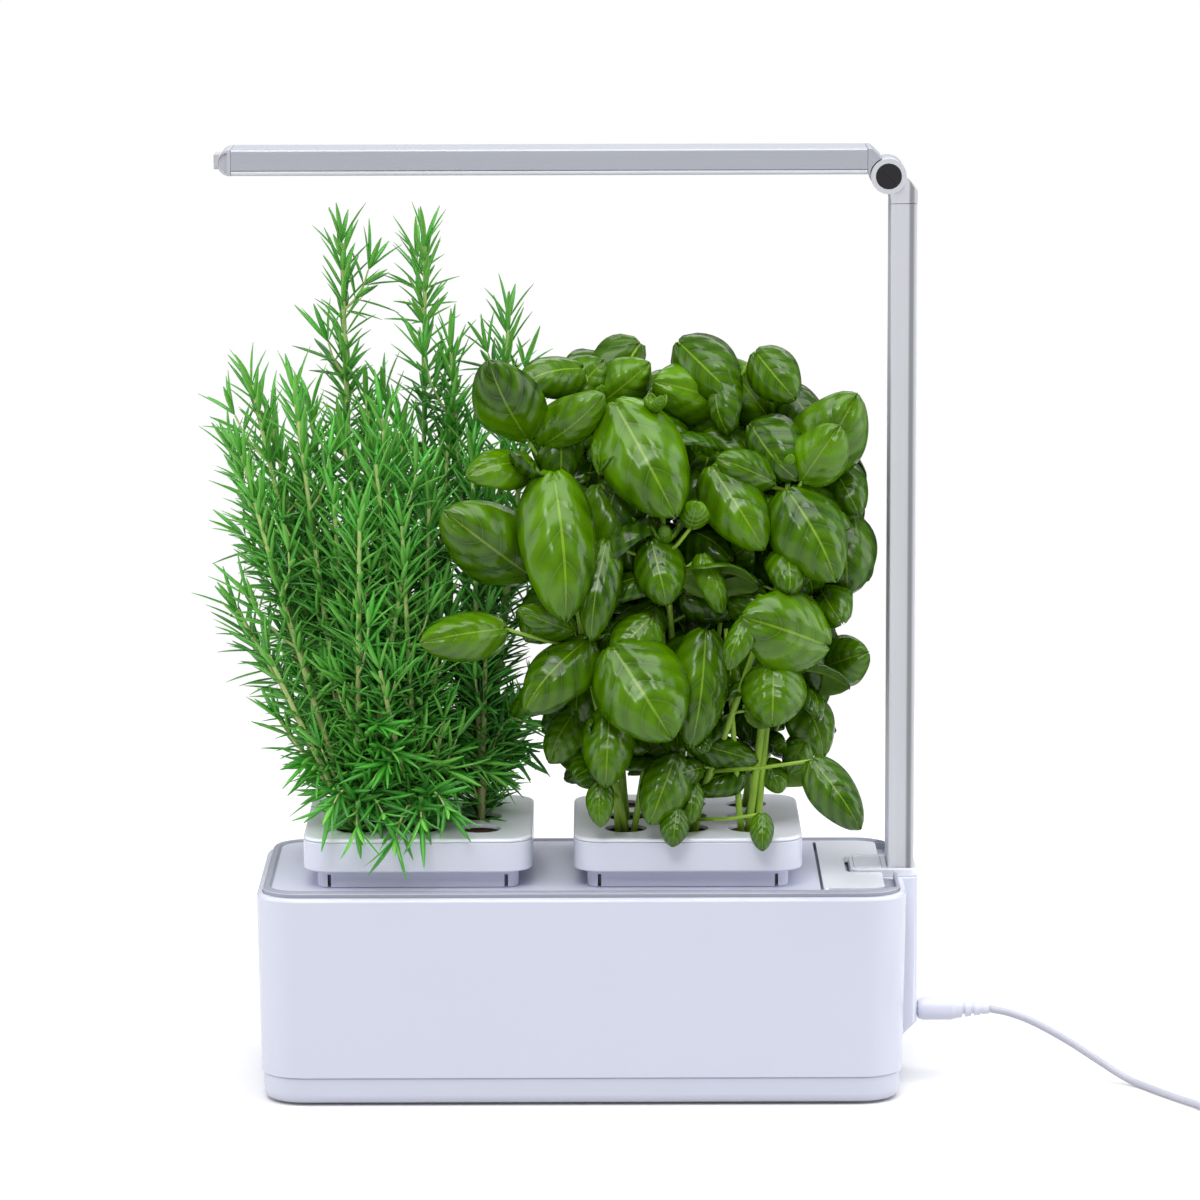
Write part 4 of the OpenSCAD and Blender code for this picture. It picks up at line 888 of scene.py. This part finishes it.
SPRIGS = [Sprig(*place) for place in (
    (-1, 1, -34, 30, 262), (0, 1, 3, 32, 260), (1, 1, 40, 36, 226), (-1, 0, -74, 6, 200),
    (1, 1, 14, 24, 212), (-1, 0, -78, -10, 170), (-1, -1, -54, -8, 198), (0, 0, -15, -20, 188),
    (-1, -1, -24, -40, 146), (-1, 0, -36, -26, 150), (0, -1, -6, -38, 142), (0, -1, 6, -18, 160),
    (1, 0, 24, 0, 168), (1, 1, 40, 12, 130), (1, 1, 50, 24, 54), (-1, 1, -82, 10, 96),
    (-1, 0, -62, -8, 48), (-1, -1, -66, -26, 82), (1, 0, 30, -8, 96), (-1, 1, -54, 34, 150),
    (0, -1, -16, -46, 78), (-1, 1, -84, 24, 166), (-1, 0, -66, 14, 184), (-1, 1, -48, 22, 186),
    (0, 1, -24, 24, 192), (0, 0, -8, 8, 178), (0, 1, 14, 20, 184), (1, 1, 24, 26, 176),
    (0, 0, -34, 4, 176), (-1, -1, -72, -18, 150), (0, -1, -18, -24, 168),
)]
SPRIG_COUNT = 52
LOW_SPRIG_COUNT = 46
# front planting holes by column, and the tips of the sprigs that hang over the cap's edge from them
OVER_THE_EDGE = [
    (-1, -36, -50, 18), (-1, -26, -53, 9), (-1, -15, -51, 14), (0, -9, -54, 4), (0, 2, -52, 12),
    (0, 12, -50, 17),
]
# nothing is planted in the front right hole
FREE_HOLE = (1, -1)
# the basil begins past this slanting line, by x less y
ROSEMARY_CLEAR = 42
# the lowest stretch of each sprig bears no needles
BARE_FOOT = 10


class PlantTree(Nodes):
    """A geometry tree under construction; its sizes are its named inputs, in metres."""

    def __init__(self, name, sizes):
        super().__init__(bpy.data.node_groups.new(name, "GeometryNodeTree"))
        face = self.tree.interface
        face.new_socket("Geometry", in_out="INPUT", socket_type="NodeSocketGeometry")
        face.new_socket("Geometry", in_out="OUTPUT", socket_type="NodeSocketGeometry")
        self.sizes = sizes
        self.ids = {}
        for label, value in sizes.items():
            kind = "NodeSocketInt" if isinstance(value, int) else "NodeSocketFloat"
            self.ids[label] = face.new_socket(label, in_out="INPUT", socket_type=kind).identifier
        self.inside = self.tree.nodes.new("NodeGroupInput")
        self.outside = self.tree.nodes.new("NodeGroupOutput")

    def given(self, label):
        return Level(self, self.inside.outputs[label])

    def position(self, *axes):
        at = self.node("GeometryNodeInputPosition")
        return self.node("ShaderNodeSeparateXYZ", values={0: at}, out=axes)

    def chance(self, low, high, seed):
        values = {2: low, 3: high, "Seed": seed}
        return self.node("FunctionNodeRandomValue", {"data_type": "FLOAT"}, values, out=1)

    def keep(self, geometry, name, value, domain="POINT", kind="FLOAT"):
        settings = {"data_type": kind, "domain": domain}
        values = {"Geometry": geometry, "Name": name, "Value": value}
        return self.node("GeometryNodeStoreNamedAttribute", settings, values)

    def kept(self, name, kind="FLOAT"):
        return self.node("GeometryNodeInputNamedAttribute", {"data_type": kind}, {"Name": name})

    def turned(self, rotation, axis, angle):
        by = self.node("FunctionNodeAxisAngleToRotation", values={"Axis": axis, "Angle": angle})
        values = {"Rotation": rotation, "Rotate By": by}
        return self.node("FunctionNodeRotateRotation", {"rotation_space": "LOCAL"}, values)

    def finish(self, geometry, material):
        """Ends the tree: real geometry in one material."""
        real = self.node("GeometryNodeRealizeInstances", values={"Geometry": geometry})
        coated = self.node("GeometryNodeSetMaterial", values={"Geometry": real, "Material": material})
        self.feed(self.outside.inputs[0], coated)
        return self

    def grow(self, made, changed=None):
        """Runs the tree on an object and keeps the result as its plain mesh."""
        step = made.modifiers.new("grow", "NODES")
        step.node_group = self.tree
        for label, value in {**self.sizes, **(changed or {})}.items():
            step[self.ids[label]] = value
        bake(made)
        return made


def whorl_points(tree):
    """Points along the sprigs, one for each needle; they keep their height and the sprig's heading."""
    line = tree.node("GeometryNodeMeshToCurve", values={0: tree.given("Geometry")})
    spacing = {"Curve": line, "Length": tree.given("Spacing")}
    knots = tree.node("GeometryNodeResampleCurve", {"mode": "LENGTH"}, spacing)
    marked = tree.keep(knots, "toward_top", tree.node("GeometryNodeSplineParameter", out="Factor"))
    marked = tree.keep(marked, "heading", tree.node("GeometryNodeInputTangent"), kind="FLOAT_VECTOR")
    points = tree.node("GeometryNodeCurveToPoints", {"mode": "EVALUATED"}, {"Curve": marked})
    amount = {"Geometry": points, "Amount": tree.given("Needles a whorl")}
    return tree.node(
        "GeometryNodeDuplicateElements", {"domain": "POINT"}, amount, out=("Geometry", "Duplicate Index")
    )


def one_needle(tree):
    """A flattened rod, broad in the middle and pointed at both ends, bent a little outwards."""
    width, length = tree.given("Needle width"), tree.given("Needle length")
    rod = tree.node(
        "GeometryNodeMeshCylinder",
        {"fill_type": "NONE"},
        {"Vertices": 4, "Side Segments": 4, "Radius": 1.0, "Depth": 1.0},
    )
    x, y, z = tree.position("X", "Y", "Z")
    t = z + 0.5
    broad = ((t**0.8 * 3.1).sine() ** 0.55).at_least(0.06)
    half = width * 0.5
    bow = t * t * (length * -0.13)
    shape = {0: x * broad * half, 1: y * broad * (half * 0.4) + bow, 2: t * length}
    at = tree.node("ShaderNodeCombineXYZ", values=shape)
    shaped = tree.node("GeometryNodeSetPosition", values={"Geometry": rod, "Position": at})
    (height,) = tree.position("Z")
    marked = tree.keep(shaped, "toward_tip", height / length)
    normal = tree.node("GeometryNodeInputNormal")
    upward = tree.node("ShaderNodeSeparateXYZ", values={0: normal}, out="Y")
    marked = tree.keep(marked, "upper", upward > 0.0, domain="FACE")
    return tree.node("GeometryNodeSetShadeSmooth", values={"Geometry": marked})


def needle_tree():
    """Needles in whorls along the sprigs, pressed closer to them towards each tip."""
    sizes = {"Spacing": 0.0069, "Needle length": 0.0198, "Needle width": 0.0024, "Needles a whorl": 5}
    tree = PlantTree("rosemary_needles", sizes)
    points, number = whorl_points(tree)
    top = tree.kept("toward_top")
    steep = top**3.0

    # needles share a whorl, and each whorl is turned against the one below by the golden angle
    whorl = (tree.node("GeometryNodeInputIndex") / tree.given("Needles a whorl")).floor()
    share = math.tau / tree.given("Needles a whorl")
    spin = whorl * 2.3999 + number * share + tree.chance(-0.45, 0.45, seed=3)
    lean = 0.98 - steep * 0.6 + tree.chance(-0.26, 0.22, seed=4)
    heading = tree.kept("heading", "FLOAT_VECTOR")
    aim = tree.node("FunctionNodeAlignRotationToVector", {"axis": "Z"}, {"Vector": heading})
    aim = tree.turned(tree.turned(aim, (0, 0, 1), spin), (1, 0, 0), lean)
    reach = tree.chance(0.72, 1.14, seed=5) * (0.86 + top * 0.16)
    size = tree.node("ShaderNodeCombineXYZ", values={0: 1.0, 1: 1.0, 2: reach})
    values = {"Points": points, "Instance": one_needle(tree), "Rotation": aim, "Scale": size}
    needles = tree.node("GeometryNodeInstanceOnPoints", values=values)
    tone = steep * 0.45 + tree.chance(0.0, 0.5, seed=6)
    return tree.finish(tree.keep(needles, "tone", tone, domain="INSTANCE"), FINISHES["rosemary_green"])


def wood_tree():
    """Round woody stems along the same sprigs, thinner towards their tips."""
    tree = PlantTree("rosemary_wood", {"Foot radius": 0.0017, "Tip radius": 0.0009})
    line = tree.node("GeometryNodeMeshToCurve", values={0: tree.given("Geometry")})
    factor = tree.node("GeometryNodeSplineParameter", out="Factor")
    radius = tree.given("Foot radius") + factor * (tree.given("Tip radius") - tree.given("Foot radius"))
    ring = tree.node("GeometryNodeCurvePrimitiveCircle", {"mode": "RADIUS"}, {"Resolution": 6, "Radius": 1.0})
    sized = tree.node("GeometryNodeSetCurveRadius", values={"Curve": line, "Radius": radius})
    values = {"Curve": sized, "Profile Curve": ring, "Fill Caps": True, "Scale": radius}
    tube = tree.node("GeometryNodeCurveToMesh", values=values)
    return tree.finish(tree.node("GeometryNodeSetShadeSmooth", values={"Geometry": tube}), WOOD)


def more_sprigs(chance):
    """The chosen sprigs, and others between them."""
    sprigs = list(SPRIGS)
    while len(sprigs) < SPRIG_COUNT:
        hole = (chance.randint(-1, 1), chance.randint(-1, 1))
        x, y = hole[0] * 30 + chance.uniform(-32, 28), hole[1] * 22 + chance.uniform(-16, 16)
        high = chance.uniform(50, 176)
        if -82 < x < 48 and x - y < ROSEMARY_CLEAR and hole != FREE_HOLE:
            sprigs.append(Sprig(*hole, x, y, high))
    return sprigs


def side_shoots(sprig, chance):
    """Centre lines of the shoots that leave one sprig, turned against each other by the golden angle."""
    shoots = []
    turn = chance.uniform(0, 360)
    height = 22
    while height < sprig.height - 34:
        up = height / sprig.height
        at = sprig_at(sprig, up)
        ahead = (sprig_at(sprig, up + 0.05) - at).normalized()
        turn += 137.5
        heading = math.radians(turn)
        out = Vector((math.cos(heading), 0.7 * math.sin(heading), 0))
        reach = chance.uniform(16, 40) * (0.6 + 0.4 * up)
        first = (ahead * 0.7 + out * 0.75).normalized() * reach
        then = (ahead + out * 0.15).normalized() * reach
        shoot = [at, at + first * 0.3, at + first * 0.55 + then * 0.12, at + first * 0.65 + then * 0.4]
        if max(p.x - p.y for p in shoot) < ROSEMARY_CLEAR:
            shoots.append(shoot)
        height += chance.uniform(22, 36)
    return shoots


def sprig_lines(chance):
    """Centre lines of the sprigs and of their side shoots."""
    stems, shoots = [], []
    for sprig in more_sprigs(chance):
        count = max(round(sprig.height / 10), 4)
        stems.append([sprig_at(sprig, 0.97 * t / count) for t in range(count + 1)])
        shoots += side_shoots(sprig, chance)
    return stems, shoots


def arched(foot, tip, over):
    """Centre line of a short sprig that rises by its foot and falls to its tip."""
    knee = foot + (tip - foot) * 0.3
    knee.z = over
    return [bend(foot, knee, tip, t / 7) for t in range(8)]


def low_sprigs(chance):
    """Centre lines of the short sprigs low over the cap; the front ones hang over its edge."""
    lines = []
    while len(lines) < LOW_SPRIG_COUNT:
        hole = (chance.randint(-1, 1), chance.randint(-1, 1))
        heading = Vector((chance.uniform(-1, 1), chance.uniform(-1, 0.35), 0)).normalized()
        foot = Vector((*hole, 0)) * HOLE_PITCH
        tip = foot + heading * chance.uniform(16, 44)
        over_free_hole = tip.x > 14 and tip.y < -12
        if hole == FREE_HOLE or over_free_hole or not -48 < tip.x < 50 or tip.y < -57:
            continue
        # past the cap's front edge they may hang lower
        tip.z = chance.uniform(2, 22) if tip.y < -46 else chance.uniform(18, 52)
        lines.append(arched(foot, tip, tip.z * 0.9 + 12))
    for column, *tip in OVER_THE_EDGE:
        foot = Vector((column, -1, 0)) * HOLE_PITCH
        lines.append(arched(foot, Vector(tip), tip[2] * 0.3 + 26))
    return lines


def strand(name, lines):
    """Object of bare edges along the lines, for a tree to grow on."""
    points, edges = [], []
    for line in lines:
        first = len(points)
        points += [(LEFT_PLANTER + p) * MM for p in line]
        edges += [(first + i, first + i + 1) for i in range(len(line) - 1)]
    return new_object(name, mesh_of(name, points, edges, []))


def grow_rosemary():
    stems, shoots = sprig_lines(random.Random(23))
    shoots += low_sprigs(random.Random(5))
    leafy = [[p for p in line if p.z > BARE_FOOT] for line in stems]
    wood, needles = wood_tree(), needle_tree()
    for made in (
        wood.grow(strand("rosemary_stems", stems)),
        wood.grow(strand("rosemary_twigs", shoots), {"Foot radius": 0.0007, "Tip radius": 0.0004}),
        needles.grow(strand("rosemary_needles", leafy)),
        needles.grow(strand("rosemary_side_needles", shoots)),
    ):
        mount(made, "left_planter", "rosemary_green", "rosemary")


grow_rosemary()


# ---- floor and light ----


def lay_floor():
    """Pale floor that keeps the tank's shadow and is white to the camera elsewhere."""
    made = Finish("floor", roughness=0.9)
    camera_ray, glossy_ray = made.node("ShaderNodeLightPath", out=("Is Camera Ray", "Is Glossy Ray"))
    seen = (camera_ray + glossy_ray) > 0.5
    made.set("Base Color", made.blend(seen, (0.56, 0.56, 0.57), (0.94, 0.94, 0.95)))
    glow = made.node("ShaderNodeEmission", values={"Color": (1, 1, 1), "Strength": 1.15})
    flat = made.place((0.62, 1, 1))
    away = made.node("ShaderNodeVectorMath", {"operation": "LENGTH"}, {0: flat}, out="Value")
    share = made.node(
        "ShaderNodeMapRange",
        {"interpolation_type": "SMOOTHSTEP"},
        {"Value": away, "From Min": 0.075, "From Max": 0.34, "To Min": 0.02, "To Max": 0.9},
    )
    plain = Level(made, made.shader.outputs[0])
    half = made.node("ShaderNodeMixShader", values={0: seen * share, 1: plain, 2: glow})
    made.feed(made.tree.nodes["Material Output"].inputs["Surface"], half)
    corners = [(-1.8, -2.2, 0), (1.8, -2.2, 0), (1.8, 0.9, 0), (-1.8, 0.9, 0)]
    mesh = mesh_of("floor", corners, [], [(0, 1, 2, 3)])
    mesh.materials.append(made.material)
    new_object("floor", mesh)


def light_room(ambient):
    """World that is white to the camera and lights softly."""
    world = bpy.data.worlds.new("studio")
    bpy.context.scene.world = world
    world.use_nodes = True
    sky = Nodes(world.node_tree)
    camera_ray, through_ray = sky.node("ShaderNodeLightPath", out=("Is Camera Ray", "Is Transmission Ray"))
    white = sky.node("ShaderNodeBackground", values={"Color": (1, 1, 1)})
    soft = sky.node("ShaderNodeBackground", values={"Color": (0.97, 0.98, 1), "Strength": ambient})
    mix = sky.node("ShaderNodeMixShader", values={0: camera_ray.at_least(through_ray), 1: soft, 2: white})
    sky.feed(sky.tree.nodes["World Output"].inputs["Surface"], mix)


def soft_panel(name, at, toward, size, power):
    data = bpy.data.lights.new(name, "AREA")
    data.shape = "RECTANGLE"
    data.size, data.size_y = size
    data.energy = power
    heading = Vector(toward) - Vector(at)
    light = new_object(name, data)
    light.matrix_world = Matrix.Translation(at) @ heading.to_track_quat("-Z", "Y").to_matrix().to_4x4()


lay_floor()
light_room(ambient=0.27)
soft_panel("overhead", (0.1, -0.45, 2.2), (0, 0, 0.1), (2.6, 1.7), 49.0)
soft_panel("front_key", (-0.35, -1.9, 2.0), (0, 0, 0.15), (1.0, 0.6), 18.0)
soft_panel("right_side", (1.8, -0.1, 0.7), (0.05, 0, 0.15), (1.5, 1.6), 17.0)
soft_panel("left_side", (-1.8, -0.1, 0.7), (0.05, 0, 0.15), (1.3, 1.6), 12.0)
soft_panel("behind", (0.3, 1.8, 1.5), (0.05, 0, 0.1), (1.8, 1.0), 9.0)
bpy.context.scene.view_settings.view_transform = "Standard"
